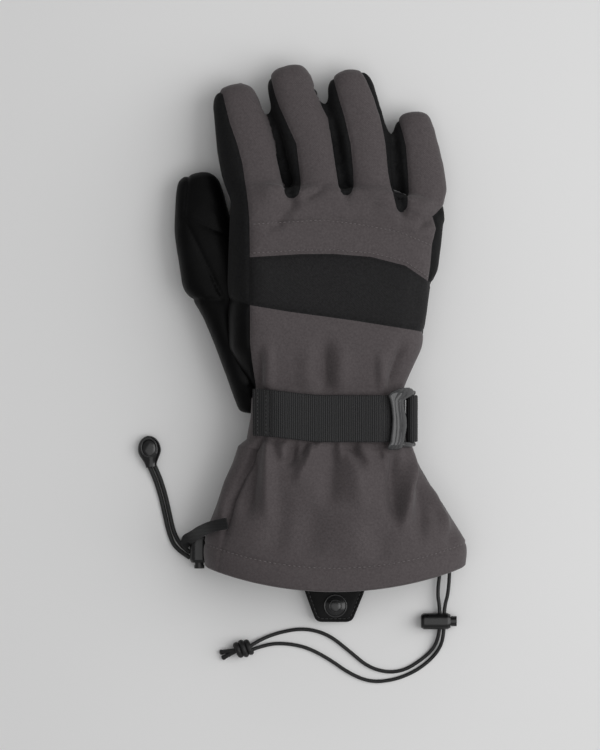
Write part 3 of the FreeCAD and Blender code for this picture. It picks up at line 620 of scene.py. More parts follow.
def cut_along(bm, field, where=None, snap=0.22):
    """Cut the mesh exactly where field is zero, snapping points that are nearly there."""
    kept = bm.verts.layers.int.get("seam") or bm.verts.layers.int.new("seam")
    bm.verts.ensure_lookup_table()
    bm.verts.index_update()
    points = np.array([v.co for v in bm.verts]) / MM
    values = field(points)
    allowed = where(points) if where else np.ones(len(points), bool)
    ends = np.array([(e.verts[0].index, e.verts[1].index) for e in bm.edges])
    first, second = values[ends[:, 0]], values[ends[:, 1]]
    crossing = np.nonzero((first * second < 0) & allowed[ends[:, 0]] & allowed[ends[:, 1]])[0]
    bm.edges.ensure_lookup_table()
    edges = [bm.edges[i] for i in crossing]
    value = {v: values[v.index] for e in edges for v in e.verts}
    zero = set()
    for edge in edges:
        a, b = edge.verts
        if a in zero or b in zero:
            continue
        share = value[a] / (value[a] - value[b])
        for vert, distance in ((a, share), (b, 1 - share)):
            if distance < snap and not vert[kept]:
                other = edge.other_vert(vert)
                vert.co = vert.co.lerp(other.co, distance)
                value[vert] = 0.0
                zero.add(vert)
                break
    for edge in edges:
        a, b = edge.verts
        if a in zero or b in zero or value[a] * value[b] >= 0:
            continue
        share = min(0.93, max(0.07, value[a] / (value[a] - value[b])))
        _, fresh = bmesh.utils.edge_split(edge, a, share)
        fresh[kept] = 1
        zero.add(fresh)
    for vert in zero:
        vert[kept] = 1
    bm.faces.index_update()
    faces = {face for vert in zero for face in vert.link_faces}
    for face in sorted(faces, key=lambda f: f.index):
        marks = [v for v in face.verts if v in zero]
        if len(marks) != 2:
            continue
        cut_already = any(marks[1] in e.verts for e in marks[0].link_edges if face in e.link_faces)
        if not cut_already:
            bmesh.utils.face_split(face, marks[0], marks[1])


def fold_field(points, folds, fade=3.0):
    """Height of the folds at each point of the plan."""
    total = np.zeros(len(points))
    for x0, y0, x1, y1, width, height in folds:
        start = np.array([x0, y0], float)
        run = np.array([x1, y1], float) - start
        length = np.linalg.norm(run)
        run /= length
        offset = points[:, :2] - start
        along = offset @ run
        across = offset[:, 0] * run[1] - offset[:, 1] * run[0]
        bend = 0.06 * width * np.sin(along / length * 5.0 + x0)
        share = along / length
        ends = smoothstep(-0.12, 0.4, share) * smoothstep(1.15, 0.75, share)
        total += height * np.exp(-(((across + bend) / width) ** 2)) * ends
    return total


def hand_clouds():
    clouds = []
    skin = node_points(*HAND_NODES)
    for low, high in HAND_INTERVALS:
        clouds.append(skin[(skin[:, 1] > low) & (skin[:, 1] < high)])
    end = skin[skin[:, 1] < HAND_INTERVALS[0][0] + 1.5]
    tucked = end.copy()
    tucked[:, 1] = TUCK_Y
    clouds.append(np.vstack([end, tucked]))
    for stall in STALLS:
        local = stall.fitted(stall.skin())
        base = local[local[:, 1] < 8] * np.array([0.82, 1, 1]) - np.array([0, 13.0, 0])
        clouds.append(stall.place(np.vstack([local, base])))
    return clouds


def seam_pins(points, fields, width):
    """Pin weights: 1 on the seams, falling to 0 over width."""
    nearest = np.min([np.abs(field(points)) for field in fields], axis=0)
    return 1 - smoothstep(0.25 * width, width, nearest)


def ahead_of(seam):
    """A field that is positive on the fingers' side of a seam across the hand."""
    def field(points):
        return points[:, 1] - table_at(seam, points[:, 0])
    return field


crest_line = ahead_of(CREST_SEAM)
band_top_line = ahead_of(BAND_TOP_SEAM)
band_low_line = ahead_of(BAND_LOW_SEAM)
thumb_side_line = ahead_of(THUMB_SIDE_SEAM)


def finger_base_line(points):
    return finger_blend(points)[0] + 1.0


def between_fingers(first):
    def field(points):
        offsets = finger_blend(points)[2]
        return offsets[first] - offsets[first + 1]
    return field


def patch_line(points):
    """Positive on the palm's reinforcing patch, a rectangle with rounded corners."""
    low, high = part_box("palm_patch")
    middle = (np.array(low[:2]) + np.array(high[:2])) / 2 / MM
    half = (np.array(high[:2]) - np.array(low[:2])) / 2 / MM - 9
    outside = np.maximum(np.abs(points[:, :2] - middle) - half, 0)
    return 9 - np.linalg.norm(outside, axis=1)


PANELS = ("knuckle", "crest", "band", "wrist", "palm", "index_side", "wrist_side", "outer_side",
          "finger_back", "finger_palm", "finger_side", "patch")


def classify(points):
    """Panel number and finger number (or -1 for the hand) of each face's middle."""
    along, nearest, _ = finger_blend(points)
    back = back_field(points) > 0
    palm = palm_field(points) > 0
    finger = along > -1.0
    panel = np.full(len(points), PANELS.index("outer_side"))
    thumb_side = points[:, 0] < 4
    panel[thumb_side] = PANELS.index("index_side")
    panel[thumb_side & (thumb_side_line(points) < 0)] = PANELS.index("wrist_side")
    panel[palm] = PANELS.index("palm")
    panel[palm & (patch_line(points) > 0)] = PANELS.index("patch")
    panel[back] = PANELS.index("knuckle")
    panel[back & (crest_line(points) < 0)] = PANELS.index("crest")
    panel[back & (band_top_line(points) < 0)] = PANELS.index("band")
    panel[back & (band_low_line(points) < 0)] = PANELS.index("wrist")
    panel[finger] = PANELS.index("finger_side")
    panel[finger & palm] = PANELS.index("finger_palm")
    panel[finger & back] = PANELS.index("finger_back")
    return panel, np.where(finger, nearest, -1)


LEAST_HEIGHT = 0.15     # of the hand's and thumb's fabric over the floor


def sewn_relief(bm, seams, depth, width, puff, reach):
    """Sink the fabric at its seams and let it swell between them."""
    bm.normal_update()
    tree = KDTree(len(seams))
    for index, vert in enumerate(seams):
        tree.insert(vert.co, index)
    tree.balance()
    for vert in bm.verts:
        distance = tree.find(vert.co)[2] / MM
        groove = depth * math.exp(-((distance / width) ** 2))
        swell = puff * (1 - math.exp(-((distance / reach) ** 2)))
        vert.co += vert.normal * (swell - groove) * MM
    for vert in bm.verts:
        vert.co.z = max(vert.co.z, LEAST_HEIGHT * MM)


def refined(shell, pinned, frames):
    """The shell padded by cloth, subdivided once and turned into a bmesh."""
    padded_by_cloth(shell, pinned, CLOTH_PRESSURE, PUFF_CAP, frames)
    add_modifier(shell, "SUBSURF", levels=1, render_levels=1)
    baked(shell)
    bm = bmesh.new()
    bm.from_mesh(shell.data)
    remove(shell)
    return bm


def face_middles(bm):
    bm.faces.ensure_lookup_table()
    bm.faces.index_update()
    return np.array([face.calc_center_median() for face in bm.faces]) / MM


def seam_verts(bm, group_of_face, unsewn=frozenset()):
    """The points between faces of different groups, in order; unsewn is a pair of groups with no seam."""
    found = set()
    for edge in bm.edges:
        groups = {group_of_face[face.index] for face in edge.link_faces}
        if len(groups) == 2 and groups != unsewn:
            found.update(edge.verts)
    bm.verts.index_update()
    return sorted(found, key=lambda vert: vert.index)


def split_pieces(bm, key_of_face):
    """One mesh for each key, with the whole surface's own normals."""
    bm.normal_update()
    groups = {}
    for face in bm.faces:
        groups.setdefault(key_of_face[face.index], []).append(face)
    meshes = {}
    for key, faces in sorted(groups.items()):
        index = {}
        points = []
        normals = []
        polygons = []
        for face in faces:
            polygon = []
            for vert in face.verts:
                if vert not in index:
                    index[vert] = len(points)
                    points.append(vert.co.copy())
                    normals.append(vert.normal.copy())
                polygon.append(index[vert])
            polygons.append(polygon)
        mesh = bpy.data.meshes.new(key)
        mesh.from_pydata(points, [], polygons)
        smooth(mesh)
        mesh.update()
        mesh.normals_split_custom_set_from_vertices(normals)
        meshes[key] = mesh
    return meshes


def piece_from(mesh, name):
    mesh.name = name
    return link(bpy.data.objects.new(name, mesh))


def shape_outer_side(points):
    """Fill the hand's outer side below the little finger, and flatten it beside the finger's base."""
    y = points[:, 1]
    points[:, 0] += 2.6 * smoothstep(45, 60, points[:, 0]) * smoothstep(28, 42, y) * smoothstep(73, 62, y)
    points[:, 0] -= 3.0 * smoothstep(66, 72, points[:, 0]) * smoothstep(62, 68, y) * smoothstep(84, 78, y)


def hand_pins(points):
    edges = seam_pins(points, [back_field, palm_field], PIN_WIDTH) * 0.85
    across = seam_pins(points, [crest_line, band_top_line, band_low_line], PIN_WIDTH) * 0.7
    pins = np.maximum(edges, np.where(back_field(points) > 0, across, 0))
    return np.maximum(pins, 1 - smoothstep(-26, -18, points[:, 1]))


def on_back(points):
    return (back_field(points) > -0.3) & (finger_blend(points)[0] < 6)


def on_thumb_side(points):
    return (back_field(points) < 0.3) & (points[:, 0] < 0) & (palm_field(points) < 0.3)


def build_hand_shell():
    shell = remeshed("hand_shell", hand_clouds(), VOXEL, 5)
    points = mesh_points(shell.data)
    shape_outer_side(points)
    set_mesh_points(shell.data, points)
    bm = refined(shell, hand_pins(points), 16)

    cut_along(bm, back_field)
    cut_along(bm, palm_field, where=lambda p: back_field(p) < 0.3)
    for line in (crest_line, band_top_line, band_low_line):
        cut_along(bm, line, where=on_back)
    cut_along(bm, thumb_side_line, where=on_thumb_side)
    cut_along(bm, patch_line, where=lambda p: (palm_field(p) > 0) & (back_field(p) < 0))
    cut_along(bm, finger_base_line, snap=0.0)
    for first in range(3):
        cut_along(bm, between_fingers(first), where=lambda p: finger_blend(p)[0] > -1.05, snap=0.0)

    open_end = [f for f in bm.faces if f.calc_center_median().y / MM < TUCK_Y + 1.2]
    bmesh.ops.delete(bm, geom=open_end, context="FACES")
    panel, finger = classify(face_middles(bm))
    sewn = panel.copy()
    for kind, whole in (("finger_back", "knuckle"), ("finger_palm", "palm")):
        sewn[panel == PANELS.index(kind)] = PANELS.index(whole)
    sewn[(panel == PANELS.index("finger_side")) & (finger == 0)] = PANELS.index("index_side")
    seams = seam_verts(bm, sewn, {PANELS.index("finger_side"), PANELS.index("index_side")})
    points = np.array([v.co for v in bm.verts]) / MM
    bm.normal_update()
    for vert, height in zip(bm.verts, np.maximum(fold_field(points, HAND_FOLDS), -DEEPEST_FOLD)):
        if vert.normal.z > 0:
            vert.co += vert.normal * (height * min(1.0, vert.normal.z * 1.6)) * MM
    sewn_relief(bm, seams, 0.75, 1.1, 0.9, 6.0)
    meshes = split_pieces(bm, ["%s %d" % (PANELS[p], f) for p, f in zip(panel, finger)])
    bm.free()
    return meshes


# panel: piece, material, finish, nodes
HAND_LOOKS = {
    "knuckle": ("back_knuckles", TAUPE, "softshell", "knuckle_panel"),
    "crest": ("back_crest", TAUPE, "softshell", "crest_panel"),
    "band": ("back_black_band", BAND, "black_softshell", "back_band"),
    "wrist": ("back_wrist", TAUPE, "softshell", "wrist_back_panel"),
    "palm": ("palm", LEATHER, "palm_leather", "palm_panel", "hand_insulation", "hand_membrane"),
    "patch": ("palm_grip_patch", LEATHER, "palm_leather", "palm_patch"),
    "index_side": ("index_side", BLACK, "black_softshell", "index_side_panel"),
    "wrist_side": ("wrist_side", LEATHER, "palm_leather", "wrist_side_panel"),
    "outer_side": ("outer_side", BLACK, "black_softshell", "outer_side_panel"),
}
FINGER_LOOKS = {
    "back": (TAUPE, "softshell", "_back", "_liner"),
    "palm": (LEATHER, "palm_leather", "_palm"),
    "side": (BLACK, "black_softshell", "_fourchettes"),
}
OVER_WRIST = ("wrist", "palm", "wrist_side", "outer_side")
WRIST_BEND = ("gauntlet", "hand", (0.0048, -0.0300, 0.022), (0.0048, -0.0160, 0.022))
FINGER_BEND = (1.0, 19.0)       # from and to, along the finger
BEND_HEIGHT = 12.0


def build_hand_pieces():
    for key, mesh in build_hand_shell().items():
        panel, number = key.split()
        if int(number) < 0:
            name, material, slot, *nodes = HAND_LOOKS[panel]
            bend = WRIST_BEND if panel in OVER_WRIST else None
            dress(piece_from(mesh, name), material, slot, *nodes, fill=0.55, body="hand", bend=bend)
            continue
        stall = STALLS[int(number)]
        kind = panel.replace("finger_", "")
        material, slot, *endings = FINGER_LOOKS[kind]
        piece = piece_from(mesh, "%s_finger_%s" % (stall.name, kind))
        start, end = [tuple(stall.place(np.array([0, along, BEND_HEIGHT])) * MM) for along in FINGER_BEND]
        dress(piece, material, slot, *[stall.name + ending for ending in endings], fill=0.6,
              bend=("hand", stall.name, start, end))


build_hand_pieces()


# ---------------------------------------------------------------- thumb
THUMB_TOP_SEAM = ((25.4, -52.7), (59.4, -69.0), (68.9, -73.8), (90.6, -71.7))     # (y, x) along its top
THUMB_TOP_START = 24            # y where that seam starts
THUMB_BEND = ("hand", "thumb", (-0.06, 0.022, 0.0143), (-0.06, 0.042, 0.0143))
THUMB_NODES = {"thumb_outer": "thumb_back", "thumb_tip": "thumb_liner", "thumb_root": "thumb_gusset",
               "thumb_underside": "thumb_palm"}


def thumb_clouds():
    gusset = node_points("thumb_gusset")
    clouds = []
    for low, high in ((-21, 2.5), (1.5, 17.5), (16.5, 31)):
        clouds.append(gusset[(gusset[:, 1] > low) & (gusset[:, 1] < high)])
    start = gusset[gusset[:, 1] < -19]
    tail = start * np.array([1, 0, 0.55]) + np.array([6.0, -37.0, 6.0])
    clouds.append(np.vstack([start, tail]))
    skin = node_points("thumb_back", "thumb_palm")
    base = skin[skin[:, 1] < 36] + np.array([11.0, -11.0, 0])
    clouds.append(np.vstack([skin[skin[:, 1] < 66], base]))
    clouds.append(skin[skin[:, 1] > 58])
    return clouds


def thumb_top_line(points):
    return points[:, 0] - table_at(THUMB_TOP_SEAM, points[:, 1])


def thumb_cross_line(points):
    return points[:, 1] - (64.4 - 0.44 * (points[:, 0] + 62))


def thumb_low_line(points):
    return points[:, 2] - 7.5


def build_thumb():
    shell = remeshed("thumb_shell", thumb_clouds(), VOXEL, 11)
    points = mesh_points(shell.data)
    pins = seam_pins(points, [thumb_low_line], PIN_WIDTH) * 0.8
    pins = np.maximum(pins, 1 - smoothstep(-18, -6, points[:, 1]))
    bm = refined(shell, pins, 14)
    cut_along(bm, thumb_low_line)
    cut_along(bm, thumb_top_line, where=lambda p: (p[:, 2] > 6.5) & (p[:, 1] > THUMB_TOP_START))
    cut_along(bm, thumb_cross_line, where=lambda p: (p[:, 2] > 6.5) & (thumb_top_line(p) > -1))
    middles = face_middles(bm)
    outer = (thumb_top_line(middles) < 0) & (middles[:, 1] > THUMB_TOP_START)
    panels = ((thumb_low_line(middles) <= 0, "thumb_underside"), (outer, "thumb_outer"),
              (thumb_cross_line(middles) > 0, "thumb_tip"))
    keys = np.select([chosen for chosen, _ in panels], [name for _, name in panels], "thumb_root")
    sewn_relief(bm, seam_verts(bm, keys), 0.8, 1.1, 0.8, 6.0)
    for name, mesh in split_pieces(bm, list(keys)).items():
        piece = piece_from(mesh, name + "_panel")
        dress(piece, LEATHER, "palm_leather", THUMB_NODES[name], fill=0.6, bend=THUMB_BEND)
    bm.free()


build_thumb()


# ---------------------------------------------------------------- gauntlet
# y, left, right, bottom, top of the gauntlet's outside
CUFF_STATIONS = (
    (-28, -36.9, 46.6, 2.4, 41.7), (-40, -37.4, 46.6, 2.4, 41.7), (-53, -39.6, 48.5, 2.0, 42.5),
    (-57, -44.2, 50.5, 1.2, 44.0), (-66, -46.8, 53.4, 0.3, 45.5), (-78, -51.2, 59.4, 0.2, 46.5),
    (-93, -55.7, 67.6, 0.2, 48.0), (-110, -61.4, 76.0, 0.2, 50.5), (-118, -62.6, 79.6, 0.2, 51.0),
    (-136, -62.0, 79.4, 0.2, 50.6),
)
CUFF_TOP_Y = -29.0
HEM_APEX = (8.0, -132.6)
HEM_RISE = 12.9         # that the hem's ends lie nearer to the fingers, 71.5 from its middle
HEM_HALF = 71.5
STITCH_ABOVE_HEM = 12.0
CUFF_FILL = 0.2
FLOOR_GAP = 0.12        # the least height of the gauntlet's outside
FACING_END = 22.0       # the facing inside the hem reaches this far from its edge
SIDE_SEAM = ((-28, -29.0), (-50, -30.2), (-60, -37.2), (-75, -43.1), (-89, -47.8), (-109, -51.9),
             (-136, -55.5))
PALM_SEAM_Z = 18.5
RING_SPLIT = (96, 26, 74)      # mesh columns across the back, the thumb side and the palm


def cuff_section(y, inset):
    """Closed ring of points (x, z) anticlockwise from the right, finely spaced."""
    inward = (inset, -inset, inset, -inset)
    left, right, bottom, top = [table_at(CUFF_STATIONS, y, k + 1) + inward[k] for k in range(4)]
    angle = np.linspace(0, 2 * math.pi, 721)[:-1]
    cos, sin = np.cos(angle), np.sin(angle)
    open_share = float(smoothstep(-50, -80, np.array(y)))
    power_top = 3.4 - 1.0 * open_share
    power_low = 3.4 + 1.2 * open_share
    power = np.where(sin > 0, power_top, power_low)
    waist = bottom + (top - bottom) * (0.5 - 0.14 * open_share)
    half_height = np.where(sin > 0, top - waist, waist - bottom)
    x = (left + right) / 2 + (right - left) / 2 * np.sign(cos) * np.abs(cos) ** (2 / power)
    z = waist + half_height * np.sign(sin) * np.abs(sin) ** (2 / power)
    return np.column_stack([x, z])


def seam_columns(ring, y):
    """The ring's points resampled so that the same columns always lie on the seams."""
    closed = np.vstack([ring, ring[:1]])
    arc = arc_lengths(closed)
    quarter, half = len(ring) // 4, len(ring) // 2
    palm_z = min(PALM_SEAM_Z, ring[:, 1].max() * 0.5)
    right = np.interp(palm_z, closed[:quarter, 1], arc[:quarter]) if ring[0, 1] < palm_z else 0.0
    if ring[0, 1] >= palm_z:
        rear = closed[3 * quarter:, 1]
        right = np.interp(palm_z, rear, arc[3 * quarter:]) - arc[-1]
    side_x = table_at(SIDE_SEAM, y)
    top_run = slice(quarter, half + 1)
    side = np.interp(-side_x, -closed[top_run, 0], arc[top_run])
    left_run = slice(half - quarter // 2, half + quarter // 2)
    left = np.interp(-palm_z, -closed[left_run, 1], arc[left_run])
    stops = [right, side, left, arc[-1] + right]
    places = []
    for start, end, count in zip(stops, stops[1:], RING_SPLIT):
        places.append(np.linspace(start, end, count + 1)[:-1])
    places = np.concatenate(places) % arc[-1]
    return np.column_stack([np.interp(places, arc, closed[:, k]) for k in (0, 1)])


def hem_y(x):
    return HEM_APEX[1] + HEM_RISE * ((x - HEM_APEX[0]) / HEM_HALF) ** 2


def cuff_row(share, inset, extra=0.0):
    """One row of the gauntlet: share 0 is under the strap and 1 is the hem's edge."""
    y = CUFF_TOP_Y + share * (HEM_APEX[1] - CUFF_TOP_Y)
    ring = seam_columns(cuff_section(y, inset), y)
    actual = CUFF_TOP_Y + share * (hem_y(ring[:, 0]) - CUFF_TOP_Y)
    return np.column_stack([ring[:, 0], actual + extra, ring[:, 1]])


def grid_faces(rows, columns):
    faces = []
    for row in range(rows - 1):
        for column in range(columns):
            following = (column + 1) % columns
            a, b = row * columns + column, row * columns + following
            faces.append((a, b, b + columns, a + columns))
    return faces


def capped_faces(rows, columns):
    """Faces of a tube of closed rings, with both of its ends closed."""
    last = rows * columns - 1
    return grid_faces(rows, columns) + [tuple(range(columns)), tuple(range(last, last - columns, -1))]


def grid_normals(points, rows, columns):
    grid = points.reshape(rows, columns, 3)
    around = np.roll(grid, -1, 1) - np.roll(grid, 1, 1)
    along = np.gradient(grid, axis=0)
    normal = np.cross(along, around)
    normal /= np.maximum(np.linalg.norm(normal, axis=2, keepdims=True), 1e-9)
    return normal.reshape(-1, 3)


def gathers(points):
    """Small puckers where the strap draws the fabric in."""
    x, y = points[:, 0], points[:, 1]
    wave = np.sin(x * 0.62 + 1.1 * np.sin(x * 0.21)) + 0.5 * np.sin(x * 1.13 + 2.0)
    return 0.75 * wave * np.exp(-((y + 55) / 7.5) ** 2)


def build_gauntlet():
    columns = sum(RING_SPLIT)
    shares = np.concatenate([np.linspace(0, 0.22, 14)[:-1], np.linspace(0.22, 1, 92)])
    rows = len(shares)
    points = np.vstack([cuff_row(share, 0.0) for share in shares])
    normals = grid_normals(points, rows, columns)
    if normals[columns * (rows // 2) + RING_SPLIT[0] // 2, 2] < 0:
        normals = -normals
    edge_distance = points[:, 1] - hem_y(points[:, 0])
    calm = smoothstep(1.0, 20, edge_distance) * smoothstep(-50.5, -56, points[:, 1])
    upward = np.clip(normals[:, 2] * 1.5, 0, 1)
    folds = np.maximum(CUFF_FOLD_GAIN * fold_field(points, CUFF_FOLDS), -DEEPEST_FOLD)
    relief = folds * upward * (0.2 + 0.8 * calm)
    relief += gathers(points) * smoothstep(-48, -54, points[:, 1]) * upward
    relief += 0.7 * np.exp(-((edge_distance - 6.5) / 5.0) ** 2)
    relief -= 0.6 * np.exp(-((edge_distance - STITCH_ABOVE_HEM) / 1.0) ** 2)
    column = np.tile(np.arange(columns), rows)
    for seam in (0, RING_SPLIT[0], RING_SPLIT[0] + RING_SPLIT[1]):
        gap = np.abs(column - seam)
        gap = np.minimum(gap, columns - gap)
        relief -= 0.8 * np.exp(-((gap / 1.1) ** 2)) * smoothstep(-46, -54, points[:, 1])
        if seam == RING_SPLIT[0]:
            tuck = smoothstep(-50, -57, points[:, 1]) * smoothstep(14, 34, edge_distance)
            relief -= 3.6 * np.exp(-((gap / 1.9) ** 2)) * tuck
    points = points + normals * relief[:, None]
    points[:, 2] = np.maximum(points[:, 2], FLOOR_GAP)
    lip_rows = []
    for turn, inset in ((35, 0.25), (90, 1.1), (150, 2.0)):
        drop = 1.1 * math.sin(math.radians(turn))
        lip_rows.append(cuff_row(1.0, inset, extra=-drop + 0.3))
    outside = np.vstack([points] + lip_rows)
    outside[:, 2] = np.maximum(outside[:, 2], FLOOR_GAP)
    total_rows = rows + len(lip_rows)
    bm = bmesh.new()
    verts = [bm.verts.new(Vector(p) * MM) for p in outside]
    for face in grid_faces(total_rows, columns):
        bm.faces.new([verts[i] for i in face])
    bmesh.ops.recalc_face_normals(bm, faces=bm.faces)
    bm.faces.ensure_lookup_table()
    bm.faces.index_update()
    looks = {"gauntlet_back": (TAUPE, "softshell", "cuff_back_panel"),
             "gauntlet_thumb_side": (TAUPE, "softshell", "cuff_side_panel"),
             "gauntlet_palm": (BLACK, "black_softshell", "cuff_palm_panel")}
    names = [name for name, count in zip(looks, RING_SPLIT) for _ in range(count)]
    for name, mesh in split_pieces(bm, names * (total_rows - 1)).items():
        dress(piece_from(mesh, name), *looks[name], fill=CUFF_FILL)
    bm.free()
    build_cuff_inside(columns)


def build_cuff_inside(columns):
    """The facing inside the hem, and the lining from there to the wrist."""
    facing_share = 1 - FACING_END / (CUFF_TOP_Y - HEM_APEX[1])
    facing = np.linspace(1.0, facing_share, 14)
    lining = np.linspace(facing_share + 0.01, 0.0, 50)
    parts = (("hem_facing_strip", facing, 2.4, 4.8, BLACK, "black_softshell", "hem_facing"),
             ("gauntlet_lining", lining, 4.8, 8.0, LINING, "lining", "cuff_lining"))
    for name, shares, first, last, material, slot, node in parts:
        insets = first + (last - first) * smoothstep(0, 0.25, np.linspace(0, 1, len(shares)))
        rows = [cuff_row(share, inset, 0.5 if share == 1.0 else 0.0) for share, inset in zip(shares, insets)]
        points = np.vstack(rows)
        points[:, 2] += 0.5 * np.sin(points[:, 0] * 0.35 + points[:, 1] * 0.22) * (points[:, 2] > 8)
        dress(mesh_object(name, points, grid_faces(len(rows), columns)), material, slot, node, fill=CUFF_FILL)


def ring_tube(name, centres, radius, flat_axis, sides=10):
    """Closed tube around a closed ring of points; flat_axis is the axis that the ring goes round."""
    following = np.roll(centres, -1, 0) - np.roll(centres, 1, 0)
    following /= np.linalg.norm(following, axis=1, keepdims=True)
    side = np.cross(following, flat_axis)
    side /= np.linalg.norm(side, axis=1, keepdims=True)
    up = np.cross(side, following)
    rings = []
    for step in range(sides):
        angle = 2 * math.pi * step / sides
        rings.append(centres + radius * (math.cos(angle) * side + math.sin(angle) * up))
    faces = grid_faces(sides, len(centres))
    last = (sides - 1) * len(centres)
    for column in range(len(centres)):
        after = (column + 1) % len(centres)
        faces.append((last + column, last + after, after, column))
    return mesh_object(name, np.vstack(rings), faces)


def build_tunnel_cord():
    """The hem's cord where it runs through the tunnel."""
    share = 1 - 6.0 / (CUFF_TOP_Y - HEM_APEX[1])
    tube = ring_tube("hem_cord_in_tunnel", cuff_row(share, 1.75), 0.85, (0.0, 1.0, 0.0))
    dress(tube, CORD, "cord", "hem_cord_loop")


def build_hand_lining():
    """The pocket that the hand goes into: soft rings inside the shell, closed over the knuckles."""
    # y, left, right, middle height, height
    rings = ((-33, -29, 39, 22, 27), (-20, -33, 42, 22.5, 27), (0, -40, 47, 24, 27), (34, -41, 51, 26.5, 26),
             (64, -40, 55, 27, 22), (78, -38, 55, 26.5, 17), (84, -20, 40, 26, 6))
    count = 72
    angle = np.linspace(0, 2 * math.pi, count + 1)[:-1]
    rows = []
    for y in np.linspace(-33, 84, 60):
        left, right, middle, height = [table_at(rings, y, k) for k in (1, 2, 3, 4)]
        x = (left + right) / 2 + (right - left) / 2 * np.sign(np.cos(angle)) * np.abs(np.cos(angle)) ** 0.7
        z = middle + height / 2 * np.sign(np.sin(angle)) * np.abs(np.sin(angle)) ** 0.7
        wrinkle = 0.6 * np.sin(y * 0.5 + 2.0 * np.sin(angle * 3)) * np.sin(angle)
        rows.append(np.column_stack([x, np.full(count, y), z + wrinkle]))
    faces = grid_faces(len(rows), count)
    last = (len(rows) - 1) * count
    faces.append(tuple(last + column for column in range(count)))
    pocket = mesh_object("hand_lining_pocket", np.vstack(rows), faces)
    dress(pocket, LINING, "lining", "hand_lining", fill=0.3, bend=WRIST_BEND)


build_gauntlet()
build_tunnel_cord()
build_hand_lining()


# ---------------------------------------------------------------- cords
# each route repeats its CAD tube's points, in metres
HEM_CORD_LEFT = (
    (0.0660, -0.1249, 0.0034), (0.0644, -0.1352, 0.0039), (0.0659, -0.1440, 0.0043),
    (0.0659, -0.1572, 0.0043), (0.0630, -0.1662, 0.0020), (0.0563, -0.1725, 0.0010),
    (0.0470, -0.1784, 0.0010), (0.0372, -0.1798, 0.0010), (0.0264, -0.1765, 0.0010),
    (0.0160, -0.1676, 0.0010), (0.0046, -0.1586, 0.0010), (-0.0086, -0.1553, 0.0010),
    (-0.0226, -0.1578, 0.0010), (-0.0334, -0.1621, 0.0020), (-0.0378, -0.1651, 0.0032),
)
HEM_CORD_RIGHT = (
    (0.0712, -0.1229, 0.0061), (0.0709, -0.1347, 0.0052), (0.0682, -0.1440, 0.0043),
    (0.0682, -0.1572, 0.0043), (0.0666, -0.1654, 0.0020), (0.0611, -0.1727, 0.0010),
    (0.0519, -0.1795, 0.0010), (0.0405, -0.1839, 0.0010), (0.0280, -0.1850, 0.0010),
    (0.0166, -0.1803, 0.0010), (0.0052, -0.1722, 0.0010), (-0.0073, -0.1656, 0.0010),
    (-0.0204, -0.1635, 0.0010), (-0.0302, -0.1646, 0.0016), (-0.0374, -0.1673, 0.0032),
)
LEASH_TAPE = (
    (-0.0499, -0.0966, 0.0446), (-0.0572, -0.0980, 0.0410), (-0.0640, -0.1010, 0.0290),
    (-0.0692, -0.1048, 0.0140), (-0.0738, -0.1072, 0.0084), (-0.0709, -0.1098, 0.0054),
)
LEASH_CORD_INNER = (
    (-0.0709, -0.1137, 0.0043), (-0.0760, -0.1099, 0.0022), (-0.0798, -0.1029, 0.0013),
    (-0.0820, -0.0928, 0.0013), (-0.0844, -0.0820, 0.0013), (-0.0878, -0.0714, 0.0015),
    (-0.0909, -0.0649, 0.0028),
)
LEASH_CORD_OUTER = (
    (-0.0709, -0.1166, 0.0043), (-0.0786, -0.1122, 0.0022), (-0.0824, -0.1036, 0.0013),
    (-0.0847, -0.0932, 0.0013), (-0.0871, -0.0826, 0.0013), (-0.0904, -0.0724, 0.0015),
    (-0.0934, -0.0662, 0.0028),
)


def smooth_curve(name, route, radius):
    data = bpy.data.curves.new(name, "CURVE")
    data.dimensions = "3D"
    spline = data.splines.new("NURBS")
    spline.points.add(len(route) - 1)
    for point, place in zip(spline.points, route):
        point.co = (*place, 1.0)
    spline.order_u = 3
    spline.use_endpoint_u = True
    spline.resolution_u = 12
    data.bevel_depth = radius
    data.bevel_resolution = 4
    data.use_fill_caps = True
    return link(bpy.data.objects.new(name, data))


def centreline(name, route):
    """Points of the route's smooth curve, in metres."""
    obj = smooth_curve(name, route, 0.0)
    mesh = bpy.data.meshes.new_from_object(obj.evaluated_get(bpy.context.evaluated_depsgraph_get()))
    points = [v.co.copy() for v in mesh.vertices]
    bpy.data.meshes.remove(mesh)
    remove(obj)
    return points


def path_length(points):
    return sum((b - a).length for a, b in zip(points, points[1:]))


def round_cord(node, route, diameter):
    name = node + "_strand"
    length = path_length(centreline(name + "_line", route))
    piece = smooth_curve(name, route, diameter / 2)
    dress(piece, CORD, "cord", node)


def axes_along(points, index):
    """The level direction across a path at one of its points, and the direction square to both."""
    ahead = points[min(index + 1, len(points) - 1)] - points[max(index - 1, 0)]
    side = ahead.cross(Vector(UP))
    side = side.normalized() if side.length > 1e-9 else Vector((1, 0, 0))
    return side, side.cross(ahead).normalized()


def tube_along(name, points, radius_at, sides=12):
    """Mesh tube along points in metres; radius_at gives its radius in millimetres for a share of its run."""
    rings = []
    for index, point in enumerate(points):
        side, normal = axes_along(points, index)
        radius = radius_at(index / (len(points) - 1)) * MM
        for step in range(sides):
            angle = 2 * math.pi * step / sides
            rings.append((point + side * radius * math.cos(angle) + normal * radius * math.sin(angle)) / MM)
    return mesh_object(name, rings, capped_faces(len(points), sides))


def joined(name, objects):
    """One mesh piece from several mesh objects."""
    bm = bmesh.new()
    for obj in objects:
        bm.from_mesh(obj.data)
        remove(obj)
    mesh = bpy.data.meshes.new(name)
    bm.to_mesh(mesh)
    bm.free()
    return link(bpy.data.objects.new(name, mesh))


